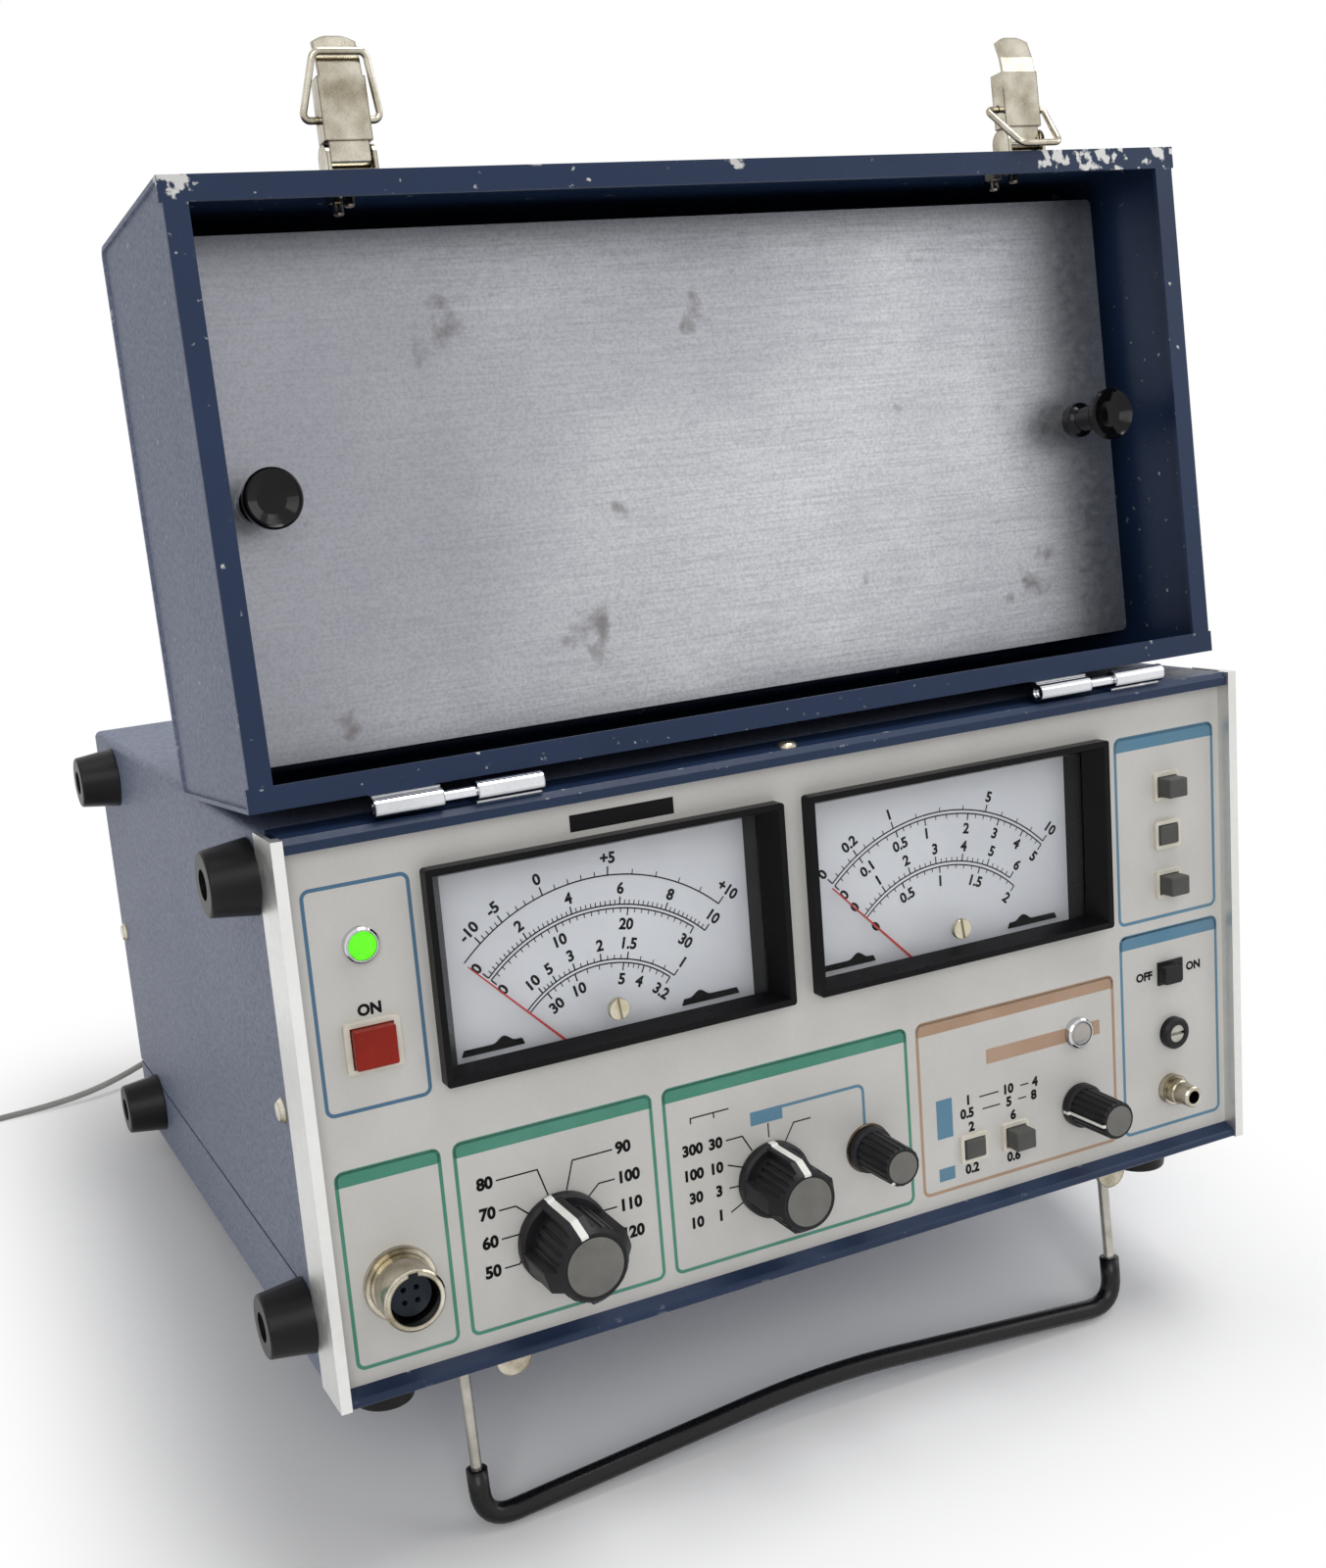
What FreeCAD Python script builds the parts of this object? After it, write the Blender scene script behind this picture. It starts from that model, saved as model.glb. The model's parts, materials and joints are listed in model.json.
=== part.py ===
import FreeCAD, Part
import math
import os

# A portable bench set with two meters in a sheet-metal case with a hinged lid, mm.
# The case frame has X to the right, Y from the front trims to the back and Z up
# from the underside. The finished part stands tilted on its wire stand.

V = FreeCAD.Vector
X_AXIS = V(1, 0, 0)
Y_AXIS = V(0, 1, 0)

# Case
CASE_W = 300.0
CASE_H = 148.5
CASE_D = 239.5
SHEET = 1.2
COVER_INSET = 0.4
SEAM_Z = 24.3
SEAM_GAP = 1.0
TRIM_FACE = 3.0
TRIM_WALL = 1.4
TRIM_DEPTH = 16.3
SEAT_GAP = 0.1
CHASSIS_GAP = 0.3
PANEL_Y = 4.5
PANEL_T = 2.0
RAIL_NOSE = 0.8
CHASSIS_WALL_H = 40.0

# Rubber feet, on the left wall and on the underside
FOOT_BASE_D = 20.0
FOOT_TIP_D = 16.8
FOOT_HOLE_D = 8.0
SIDE_FOOT_H = 12.2
BOTTOM_FOOT_H = 14.0
SIDE_FOOT_Y = (23.6, 209.0)
SIDE_FOOT_Z = (17.2, 136.0)
BOTTOM_FOOT_X = 19.0
BOTTOM_FOOT_Y = (27.0, 209.0)
SCREW_D = 7.0
SIDE_SCREW = ((22.8, 74.2), (CASE_D - 6.5, 75.0))

# Wire stand
WIRE_D = 3.2
SLEEVE_D = 4.4
SLEEVE_GAP = 0.06
SLEEVE_TOP = 33.0
STAND_LEG_X = 39.8
STAND_PIVOT = (20.0, -5.0)
STAND_BAR = (16.5, -54.6)
STAND_TOP_BEND = 5.0
STAND_LOW_BEND = 10.0
BRACKET_X = (45.5, 57.0)
BRACKET_HALF = 5.0
PIVOT_GAP = 0.06

# Lid and its slip hinges
LID_D = 75.0
LID_LEAN = 4.7
LID_SHIFT = -2.5
LID_GAP = 0.4
LID_FLANGE = 6.0
LID_BEND = 3.0
LID_END_INSET = 0.8
HINGE_Y = 3.0
HINGE_RISE = 3.2
HINGE_X = 49.5
HINGE_LENGTH = 45.0
KNUCKLE_D = 5.0
KNUCKLE_LENGTH = 18.0
HINGE_PIN_D = 3.0
LEAF_T = 1.0
LEAF_REACH = 15.0
PLATE_DEPTH = 28.0
PLATE_MARGIN_X = 7.0
PLATE_MARGIN_Z = 8.0
PLATE_LIP = 5.0
PLATE_CORNER = 2.0
POST_X = 20.0
POST_D = 8.0
STUD_D = 4.0
THUMB_HEAD_D = 15.2
THUMB_HEAD_T = 5.0
THUMB_RIM_T = 2.2
THUMB_DISH = 2.4
THUMB_NECK_D = 7.4
THUMB_COLLAR_D = 10.4
THUMB_COLLAR_T = 3.0
THUMB_HEIGHT = 17.0

# Draw latches on the free wall of the lid
LATCH_X = 49.2
LATCH_HALF = 6.4
LATCH_SHEET = 1.0
LATCH_PIVOT = (7.5, 4.2)
LATCH_PIN_D = 2.0
EAR_R = 3.5
LEVER_TOP = 33.0
LEVER_CHANNEL_TOP = 23.0
LEVER_FOOT = 8.0
LEVER_DEPTH = 5.0
BAIL_D = 1.8
BAIL_PIVOT = (8.0, 13.5)
BAIL_LENGTH = 15.5
BAIL_HALF = 10.0
BAIL_END_HALF = 6.6
BAIL_UP_TURN = 16.0
BAIL_DOWN_TURN = 140.0
KEEPER_W = 10.3
KEEPER_DROP = 6.5
KEEPER_Y = 4.5

# Meters
METER_X = (89.1, 199.95)
METER_W = 103.0
METER_H = 56.8
METER_DROP = 70.6
METER_Z = CASE_H - METER_DROP
METER_PROUD = 4.0
METER_RIM = 1.8
WINDOW_W = 92.4
WINDOW_H = 49.6
WINDOW_Z = METER_Z + 3.6
WINDOW_Y = 6.3
WINDOW_T = 1.2
METER_NECK = 1.6
SCALE_Y = 14.8
SCALE_T = 0.8
POINTER_Y = 11.5
POINTER_Z = METER_Z - 12.2
POINTER_R = 55.0
POINTER_TAIL = 5.0
POINTER_W = 0.9
POINTER_TIP = 0.36
POINTER_ZERO = -44.8
HOUSING_BOTTOM = 58.0
HOUSING_BACK = 46.0
HOUSING_WALL = 1.5
ZERO_Z = METER_Z + 8.7
ZERO_D = 6.0

# Panel controls: places as (x, z)
LAMP_AT = ((20.3, 118.7), (239.4, 46.7))
LAMP_D = 9.2
LAMP_PROUD = 2.3
LENS_D = 7.2
POWER_AT = (20.45, 92.8)
POWER_BEZEL = (14.7, 13.0)
POWER_CAP = (11.1, 10.3)
POWER_OUT = 4.0
FUNCTION_X = 275.6
FUNCTION_Z = (116.7, 101.8, 86.4)
FUNCTION_PRESSED = (False, True, False)
OUTPUT_X = (199.5, 214.6)
OUTPUT_Z = 20.0
OUTPUT_PRESSED = (True, False)
BUTTON_BEZEL = (9.6, 8.6)
BUTTON_CAP = (7.0, 5.8)
BUTTON_OUT = 6.0
BUTTON_TRAVEL = 4.0
BUTTON_LENGTH = 12.0
BEZEL_PROUD = 1.2
CAP_GAP = 0.25
MIC_AT = (20.3, 28.8)
MIC_FLANGE_D = 19.5
MIC_BARREL_D = 16.5
MIC_BORE_D = 13.2
MIC_INSERT_D = 11.3
MIC_PROUD = 12.5
MIC_HOLE_D = 1.5
MIC_HOLE_PITCH = 3.5
LEVEL_AT = (66.1, 28.5)
LEVEL_SIZE = (25.6, 21.0, 16.3)
LEVEL_ANGLE = -15.0
RANGE_AT = (131.0, 28.2)
RANGE_SIZE = (21.8, 19.5, 14.1)
RANGE_ANGLE = 0.0
SET_AT = (163.1, 28.9)
SET_ANGLE = -140.0
VARIABLE_AT = (239.4, 23.7)
VARIABLE_ANGLE = -96.0
SMALL_KNOB = (13.5, 17.0, 9.6)
SHAFT_D = 6.0
SHAFT_GAP = 0.08
BUSH_D = 9.0
KNOB_LIFT = 0.4
SWITCH_D = 30.0
SWITCH_LENGTH = 22.0
POT_D = 17.0
POT_LENGTH = 12.0
SLIDE_AT = (275.8, 58.1)
SLIDE_BODY = (20.0, 9.0)
SLIDE_BODY_DEPTH = 7.0
SLIDE_FRAME = (9.8, 7.3)
SLIDE_TAB = (3.6, 3.4)
SLIDE_LIP = 0.5
SLIDE_CAP = (6.2, 5.4)
SLIDE_CAP_T = 3.0
SLIDE_CAP_GAP = 0.2
SLIDE_TRAVEL = 3.4
TRIMMER_AT = (276.3, 38.4)
TRIMMER_BUSH_D = 10.0
TRIMMER_SHAFT_D = 5.5
TRIMMER_PROUD = 2.5
JACK_AT = (275.0, 20.3)
JACK_NUT_D = 9.5
JACK_BARREL_D = 6.6
JACK_BORE_D = 4.0
JACK_PROUD = 10.0

# Carrying strap on the right wall
STRAP_Z = 74.0
STRAP_W = 20.0
STRAP_T = 3.0
STRAP_ENDS = (60.0, 180.0)
STRAP_BOW = 17.0
CAP_LENGTH = 24.0
CAP_WALL = 2.0

# Inside
BOARD_BOX = (20.0, 190.0, 90.0, 225.0)
BOARD_Z = 10.0
BOARD_T = 1.6
CORE_BOX = (212.0, 268.0, 150.0, 196.0)
CORE_H = 46.0
CORE_STACK = 24.0

# Mains cord, with its route on the floor as x, depth and height of its centre line
CORD_D = 2.4
GLAND_X = 42.0
GLAND_Z = 20.6
GLAND_OUT = 22.0
GLAND_BASE_D = 9.0
GLAND_TIP_D = 5.0
COIL_X = -82.0
COIL_Y = 251.2
COIL_OUTER_R = 20.5
COIL_PITCH = 2.9
COIL_HALF_TURNS = (6, 6, 6, 5)
COIL_TAIL = 16.0
PLUG_X = -118.0
PLUG_Y = 244.0
PLUG_W = 22.0
PLUG_T = 11.0
PLUG_LENGTH = 26.0
PLUG_NECK = 14.0
PIN_LENGTH = 17.0
PIN_W = 6.3
PIN_T = 1.5
PIN_PITCH = 12.7


# Basic solids

def block(x0, x1, y0, y1, z0, z1):
    return Part.makeBox(x1 - x0, y1 - y0, z1 - z0, V(x0, y0, z0))


def rod_x(y, z, radius, x0, x1):
    return Part.makeCylinder(radius, x1 - x0, V(x0, y, z), X_AXIS)


def rod_y(x, z, radius, y0, y1):
    return Part.makeCylinder(radius, y1 - y0, V(x, y0, z), Y_AXIS)


def rod_z(x, y, radius, z0, z1):
    return Part.makeCylinder(radius, z1 - z0, V(x, y, z0))


def prism_x(outline, x0, x1):
    """A closed (y, z) outline carried along X."""
    points = [V(x0, y, z) for y, z in outline]
    return Part.Face(Part.makePolygon(points + points[:1])).extrude(V(x1 - x0, 0, 0))


def prism_z(outline, z0, z1):
    """A closed (x, y) outline carried along Z."""
    points = [V(x, y, z0) for x, y in outline]
    return Part.Face(Part.makePolygon(points + points[:1])).extrude(V(0, 0, z1 - z0))


def spun_y(x, z, profile):
    """A closed (radius, y) profile turned about an axis along Y."""
    points = [V(x + r, y, z) for r, y in profile]
    return Part.Face(Part.makePolygon(points + points[:1])).revolve(V(x, 0, z), Y_AXIS, 360)


def pad_y(x, z, size, y0, y1, corner=0.0):
    """A rectangular pad centred on (x, z) with rounded corners."""
    solid = block(x - size[0] / 2, x + size[0] / 2, y0, y1, z - size[1] / 2, z + size[1] / 2)
    if corner <= 0:
        return solid
    return solid.makeFillet(corner, edges_along(solid, Y_AXIS))


def edges_along(solid, axis):
    return [e for e in solid.Edges if abs(abs(e.tangentAt(e.FirstParameter).dot(axis)) - 1) < 1e-6]


def joined(solids):
    return solids[0].fuse(solids[1:]).removeSplitter()


def mirrored(solid):
    """The same piece on the other side of the case."""
    return solid.mirror(V(CASE_W / 2, 0, 0), X_AXIS)


def pair(solid):
    return [solid, mirrored(solid)]


# Paths of lines and arcs

def arc_edge(start, tangent, end):
    """The arc that leaves start along tangent and reaches end."""
    chord = end - start
    side = chord - tangent * chord.dot(tangent)
    if side.Length < 1e-7:
        return Part.LineSegment(start, end).toShape()
    side.normalize()
    radius = chord.dot(chord) / (2 * chord.dot(side))
    centre = start + side * radius
    middle = (start + end) * 0.5 - centre
    middle.normalize()
    return Part.Arc(start, centre + middle * radius, end).toShape()


def biarc(start, start_way, end, end_way):
    """Two arcs that leave start along start_way and arrive at end along end_way."""
    span = end - start
    ways = start_way + end_way
    share = 4 - ways.dot(ways)
    along = span.dot(ways)
    reach = (math.sqrt(along * along + share * span.dot(span)) - along) / share
    first = start + start_way * reach
    second = end - end_way * reach
    join = (first + second) * 0.5
    join_way = (second - first).normalize()
    return [arc_edge(start, start_way, join), arc_edge(join, join_way, end)]


def rounded_path(points, radii):
    """Straight runs with a tangent arc of its own radius at each inner point."""
    edges = []
    last = points[0]
    for index in range(1, len(points) - 1):
        back = (points[index - 1] - points[index]).normalize()
        ahead = (points[index + 1] - points[index]).normalize()
        turn = math.pi - back.getAngle(ahead)
        reach = radii[index - 1] * math.tan(turn / 2)
        start = points[index] + back * reach
        end = points[index] + ahead * reach
        if (start - last).Length > 1e-6:
            edges.append(Part.LineSegment(last, start).toShape())
        edges.append(arc_edge(start, back * -1, end))
        last = end
    edges.append(Part.LineSegment(last, points[-1]).toShape())
    return Part.Wire(edges)


def tube(path, diameter):
    """A round section carried along a path."""
    start = path.OrderedEdges[0]
    way = start.tangentAt(start.FirstParameter)
    at = start.valueAt(start.FirstParameter)
    section = Part.Wire([Part.makeCircle(diameter / 2, at, way)])
    return path.makePipeShell([section], True, False)


# Values worked out from the sizes above

PANEL_BACK = PANEL_Y + PANEL_T
RIGHT_WALL = CASE_W - COVER_INSET
HINGE_Z = CASE_H + HINGE_RISE
CLOSED_TURN = 180.0 + LID_LEAN
LID_H = CASE_H

NODES = {}


def add(name, solids):
    shapes = solids if isinstance(solids, list) else [solids]
    NODES[name] = [solid for shape in shapes for solid in shape.Solids]


# Case: trims, rails, panel, covers and chassis

def trim():
    outline = [(0, 0), (TRIM_FACE, 0), (TRIM_FACE, PANEL_Y), (TRIM_WALL, PANEL_Y),
               (TRIM_WALL, TRIM_DEPTH), (0, TRIM_DEPTH)]
    return prism_z(outline, 0, CASE_H)


def top_rail():
    top = CASE_H
    nose = RAIL_NOSE
    outline = [(PANEL_Y, top - 3.6), (nose + 0.2, top - 3.9), (nose, top - 1.5), (nose + 1.4, top),
               (TRIM_DEPTH, top), (TRIM_DEPTH, top - SHEET), (nose + 2.0, top - SHEET),
               (nose + 1.3, top - 1.9), (nose + 1.4, top - 2.6), (PANEL_Y, top - 2.4)]
    return prism_x(outline, TRIM_FACE, CASE_W - TRIM_FACE)


def bottom_rail():
    nose = RAIL_NOSE - 0.2
    outline = [(PANEL_Y, 3.9), (nose + 0.4, 2.4), (nose, 1.9), (nose, 0.4), (nose + 0.4, 0),
               (TRIM_DEPTH, 0), (TRIM_DEPTH, SHEET), (nose + SHEET, SHEET), (nose + SHEET, 1.7),
               (PANEL_Y, 2.7)]
    return prism_x(outline, TRIM_FACE, CASE_W - TRIM_FACE)


def cover_sleeve(z0, z1):
    """A tube of sheet round the case, rounded along its four long edges."""
    y0 = TRIM_DEPTH + SEAT_GAP
    outer = block(COVER_INSET, RIGHT_WALL, y0, CASE_D, 0, CASE_H)
    outer = outer.makeFillet(1.8 * SHEET, edges_along(outer, Y_AXIS))
    inner = block(COVER_INSET + SHEET, RIGHT_WALL - SHEET, y0 - 1, CASE_D + 1, SHEET, CASE_H - SHEET)
    inner = inner.makeFillet(0.8 * SHEET, edges_along(inner, Y_AXIS))
    return outer.cut(inner).common(block(-1, CASE_W + 1, y0, CASE_D, z0, z1))


def chassis():
    x0 = COVER_INSET + SHEET + CHASSIS_GAP
    x1 = CASE_W - x0
    z0 = SHEET + CHASSIS_GAP
    y1 = CASE_D - SHEET
    base = block(x0, x1, PANEL_BACK, y1, z0, z0 + SHEET)
    walls = [block(x, x + SHEET, PANEL_BACK, y1, z0, CHASSIS_WALL_H) for x in (x0, x1 - SHEET)]
    rear = block(x0, x1, y1 - SHEET, y1, z0, CASE_H - SHEET - CHASSIS_GAP)
    body = joined([base, rear] + walls)
    return body.cut(rod_y(GLAND_X, GLAND_Z, GLAND_BASE_D / 2 - 1.0, y1 - SHEET - 1, y1 + 1))


def rubber_foot(height):
    """A tapered foot along +Z with a countersunk screw hole in its tip."""
    radii = (FOOT_BASE_D / 2, FOOT_TIP_D / 2)
    body = Part.makeCone(radii[0], radii[1], height)
    body = body.makeFillet(0.8, [e for e in body.Edges if e.BoundBox.ZMin > height - 0.1])
    return body.cut(rod_z(0, 0, FOOT_HOLE_D / 2, height * 0.5, height + 1))


def place(solid, at, axis):
    """A solid made along +Z at the origin, moved to a point and turned along an axis."""
    placement = FreeCAD.Placement(at, FreeCAD.Rotation(V(0, 0, 1), axis))
    return solid.transformed(placement.toMatrix(), True)


def rubber_feet():
    feet = []
    for y in SIDE_FOOT_Y:
        for z in SIDE_FOOT_Z:
            feet.append(place(rubber_foot(SIDE_FOOT_H), V(0, y, z), V(-1, 0, 0)))
    for y in BOTTOM_FOOT_Y:
        feet += pair(place(rubber_foot(BOTTOM_FOOT_H), V(BOTTOM_FOOT_X, y, 0), V(0, 0, -1)))
    return feet


def case_screws():
    head = Part.makeCone(SCREW_D / 2, SCREW_D / 2 - 1.0, 1.5)
    screws = []
    for y, z in SIDE_SCREW:
        screws += pair(place(head, V(COVER_INSET, y, z), V(-1, 0, 0)))
    return screws


def latch_keeper():
    half = KEEPER_W / 2
    tongue = block(LATCH_X - half, LATCH_X + half, KEEPER_Y, KEEPER_Y + SHEET, half - KEEPER_DROP, 0)
    tip = rod_y(LATCH_X, half - KEEPER_DROP, half, KEEPER_Y, KEEPER_Y + SHEET)
    foot = block(LATCH_X - half, LATCH_X + half, KEEPER_Y, TRIM_DEPTH - 2, -SHEET, 0)
    below = block(0, CASE_W, 0, CASE_D, -2 * KEEPER_DROP, 0)
    return joined([tongue, tip, foot]).common(below)


def stand_bracket():
    y, z = STAND_PIVOT
    body = block(BRACKET_X[0], BRACKET_X[1], y - BRACKET_HALF, y + BRACKET_HALF, z - BRACKET_HALF, 0)
    low = [e for e in edges_along(body, X_AXIS) if e.BoundBox.ZMax < z]
    body = body.makeFillet(BRACKET_HALF * 0.9, low)
    return body.cut(rod_x(y, z, WIRE_D / 2 + PIVOT_GAP, BRACKET_X[0] - 1, BRACKET_X[1] + 1))


def stand_path(from_top):
    """The bent wire's centre line: turned-in ends, two legs and the floor bar."""
    y, z = STAND_PIVOT
    down = V(0, STAND_BAR[0] - y, STAND_BAR[1] - z)
    length = down.Length
    down.normalize()

    def at(x, drop):
        return V(x, y, z) + down * drop
    far = CASE_W - STAND_LEG_X
    if from_top > 0:
        corners = [at(STAND_LEG_X, from_top), at(STAND_LEG_X, length), at(far, length), at(far, from_top)]
        return rounded_path(corners, [STAND_LOW_BEND] * 2)
    corners = [at(BRACKET_X[1] - 1, 0), at(STAND_LEG_X, 0), at(STAND_LEG_X, length), at(far, length),
               at(far, 0), at(CASE_W - BRACKET_X[1] + 1, 0)]
    return rounded_path(corners, [STAND_TOP_BEND, STAND_LOW_BEND, STAND_LOW_BEND, STAND_TOP_BEND])


def stand_sleeve():
    path = stand_path(SLEEVE_TOP)
    return tube(path, SLEEVE_D).cut(tube(path, WIRE_D + 2 * SLEEVE_GAP))


# Lid, in its own frame: X as the case, Y back from the rim, Z up from the hinge wall

def lid_shell():
    outer = block(0, CASE_W, 0, LID_D, 0, LID_H)
    back = [e for e in edges_along(outer, X_AXIS) if e.BoundBox.YMin > LID_D - 1]
    outer = outer.makeFillet(LID_BEND, back)
    inner = block(-1, CASE_W + 1, SHEET, LID_D - SHEET, SHEET, LID_H - SHEET)
    back = [e for e in edges_along(inner, X_AXIS) if e.BoundBox.YMin > LID_D - 2 * SHEET]
    inner = inner.makeFillet(LID_BEND - SHEET, back)
    mouth = block(-1, CASE_W + 1, -1, SHEET + 1, LID_FLANGE, LID_H - LID_FLANGE)
    return outer.cut([inner, mouth])


def lid_end():
    x0 = LID_END_INSET
    wall = block(x0, x0 + SHEET, SHEET, LID_D - SHEET, SHEET, LID_H - SHEET)
    back = [e for e in edges_along(wall, X_AXIS) if e.BoundBox.YMin > LID_D - 2 * SHEET]
    wall = wall.makeFillet(LID_BEND - SHEET, back)
    flange = block(x0, x0 + LID_FLANGE, 0, SHEET, LID_FLANGE, LID_H - LID_FLANGE)
    return joined([wall, flange.fuse(block(x0, x0 + SHEET, 0, 2 * SHEET, LID_FLANGE, LID_H - LID_FLANGE))])


def lid_plate():
    x = CASE_W / 2
    z = LID_H / 2
    size = (CASE_W - 2 * PLATE_MARGIN_X, LID_H - 2 * PLATE_MARGIN_Z)
    pan = pad_y(x, z, size, PLATE_DEPTH, PLATE_DEPTH + PLATE_LIP, PLATE_CORNER)
    inside = (size[0] - 2 * SHEET, size[1] - 2 * SHEET)
    hollow = pad_y(x, z, inside, PLATE_DEPTH + SHEET, PLATE_DEPTH + PLATE_LIP + 1, PLATE_CORNER - SHEET)
    pan = pan.cut(hollow)
    holes = [rod_y(hole_x, z, STUD_D / 2 + 0.2, 0, LID_D) for hole_x in (POST_X, CASE_W - POST_X)]
    return pan.cut(holes)


def lid_post():
    z = LID_H / 2
    front = PLATE_DEPTH - THUMB_HEIGHT + THUMB_HEAD_T
    post = rod_y(POST_X, z, POST_D / 2, PLATE_DEPTH + SHEET, LID_D - SHEET)
    return joined([post, rod_y(POST_X, z, STUD_D / 2, front, LID_D - SHEET)])


def thumb_knob():
    """A turned knob: a dished head with a thin rim, a waist and a collar on the plate."""
    front = PLATE_DEPTH - THUMB_HEIGHT
    rim = THUMB_HEAD_D / 2
    neck = THUMB_NECK_D / 2
    collar = THUMB_COLLAR_D / 2
    bore = STUD_D / 2 + SHAFT_GAP
    shoulder = front + THUMB_HEAD_T
    seat = PLATE_DEPTH - SEAT_GAP
    step = seat - THUMB_COLLAR_T
    profile = [(0, front + THUMB_DISH), (0.5 * rim, front + 0.8 * THUMB_DISH),
               (0.85 * rim, front + 0.2 * THUMB_DISH), (0.93 * rim, front),
               (rim, front + 0.3 * THUMB_RIM_T), (rim, front + THUMB_RIM_T),
               (0.93 * rim, front + 1.4 * THUMB_RIM_T), (0.5 * (rim + neck), shoulder - 0.7),
               (neck, shoulder + 0.6), (neck, step - 0.8), (collar - 0.6, step), (collar, step + 0.6),
               (collar, seat), (bore, seat), (bore, shoulder - 1.0), (0, shoulder - 1.0)]
    return spun_y(POST_X, LID_H / 2, profile)


def hinge_leaf(axis_y, axis_z, x0, way):
    """A knuckle with its leaf: way is +1 where the leaf lies under it and runs back."""
    knuckle = rod_x(axis_y, axis_z, KNUCKLE_D / 2, x0, x0 + KNUCKLE_LENGTH)
    face = axis_z - HINGE_RISE if way > 0 else axis_z + HINGE_RISE - LEAF_T
    leaf = block(x0, x0 + KNUCKLE_LENGTH, axis_y, axis_y + LEAF_REACH, face, face + LEAF_T)
    return joined([knuckle, leaf])


def case_hinge():
    x1 = HINGE_X + HINGE_LENGTH / 2
    leaf = hinge_leaf(HINGE_Y, HINGE_Z, x1 - KNUCKLE_LENGTH, 1)
    pin = rod_x(HINGE_Y, HINGE_Z, HINGE_PIN_D / 2, x1 - HINGE_LENGTH + 1, x1 - 1)
    return joined([leaf, pin])


def lid_hinge():
    """The lid's half of the hinge, in the lid's frame."""
    x0 = HINGE_X - HINGE_LENGTH / 2 - LID_SHIFT
    axis_y = -LID_GAP - HINGE_Y
    leaf = hinge_leaf(axis_y, -HINGE_RISE, x0, -1)
    return leaf.cut(rod_x(axis_y, -HINGE_RISE, HINGE_PIN_D / 2 + SLEEVE_GAP, x0 - 1, x0 + HINGE_LENGTH))


# Latches, in the lid's frame, with heights above its free wall

def latch_base():
    wall = LID_H
    y, lift = LATCH_PIVOT
    foot = block(LATCH_X - LATCH_HALF, LATCH_X + LATCH_HALF, y - EAR_R, y + 5 * EAR_R, wall, wall + SHEET)
    solids = [foot]
    for side in (-1, 1):
        edge = LATCH_X + side * LATCH_HALF
        x0 = min(edge, edge - side * LATCH_SHEET)
        solids.append(rod_x(y, wall + lift, EAR_R, x0, x0 + LATCH_SHEET))
        solids.append(block(x0, x0 + LATCH_SHEET, y - EAR_R, y + EAR_R, wall, wall + lift))
    solids.append(rod_x(y, wall + lift, LATCH_PIN_D / 2, LATCH_X - LATCH_HALF, LATCH_X + LATCH_HALF))
    return joined(solids)


def latch_lever():
    wall = LID_H
    y, lift = LATCH_PIVOT
    half = LATCH_HALF - 0.3
    front = y - LEVER_DEPTH / 2 - 0.4
    web = block(LATCH_X - half, LATCH_X + half, front, front + LATCH_SHEET,
                wall + LEVER_FOOT, wall + LEVER_CHANNEL_TOP)
    solids = [web]
    lug_half = LATCH_HALF - LATCH_SHEET - 0.25
    for side in (-1, 1):
        edge = LATCH_X + side * half
        x0 = min(edge, edge - side * LATCH_SHEET)
        solids.append(block(x0, x0 + LATCH_SHEET, front, front + LEVER_DEPTH,
                            wall + LEVER_FOOT, wall + LEVER_CHANNEL_TOP))
        edge = LATCH_X + side * lug_half
        x0 = min(edge, edge - side * LATCH_SHEET)
        lug = rod_x(y, wall + lift, LEVER_DEPTH / 2, x0, x0 + LATCH_SHEET)
        shank = block(x0, x0 + LATCH_SHEET, y - LEVER_DEPTH / 2, y + LEVER_DEPTH / 2,
                      wall + lift, wall + LEVER_FOOT + 1.2)
        solids += [lug, shank]
        solids.append(block(x0, x0 + LATCH_SHEET, front, y, wall + LEVER_FOOT, wall + LEVER_FOOT + 1.2))
    roll_half = lug_half - LATCH_SHEET
    roll_front = y - LEVER_DEPTH / 2
    solids.append(rod_x(y, wall + lift, LEVER_DEPTH / 2, LATCH_X - roll_half, LATCH_X + roll_half))
    solids.append(block(LATCH_X - roll_half, LATCH_X + roll_half, roll_front, roll_front + LATCH_SHEET,
                        wall + lift, wall + LEVER_FOOT + 1.2))
    tongue = prism_x([(front, wall + LEVER_CHANNEL_TOP), (front + 0.6, wall + LEVER_CHANNEL_TOP + 4),
                      (front + 2.6, wall + LEVER_TOP), (front + 3.5, wall + LEVER_TOP - 0.4),
                      (front + 1.6, wall + LEVER_CHANNEL_TOP + 4), (front + 1.0, wall + LEVER_CHANNEL_TOP)],
                     LATCH_X - half + 0.6, LATCH_X + half - 0.6)
    crown = rod_y(LATCH_X, wall + LEVER_TOP - 9.6, 9.8, front - 1, front + LEVER_DEPTH)
    solids.append(tongue.common(crown))
    lever = joined(solids)
    pivot = rod_x(y, wall + lift, LATCH_PIN_D / 2 + PIVOT_GAP, LATCH_X - 20, LATCH_X + 20)
    hole = rod_x(BAIL_PIVOT[0], wall + BAIL_PIVOT[1], BAIL_D / 2 + 2 * PIVOT_GAP, LATCH_X - 20, LATCH_X + 20)
    return lever.cut([pivot, hole])


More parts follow.
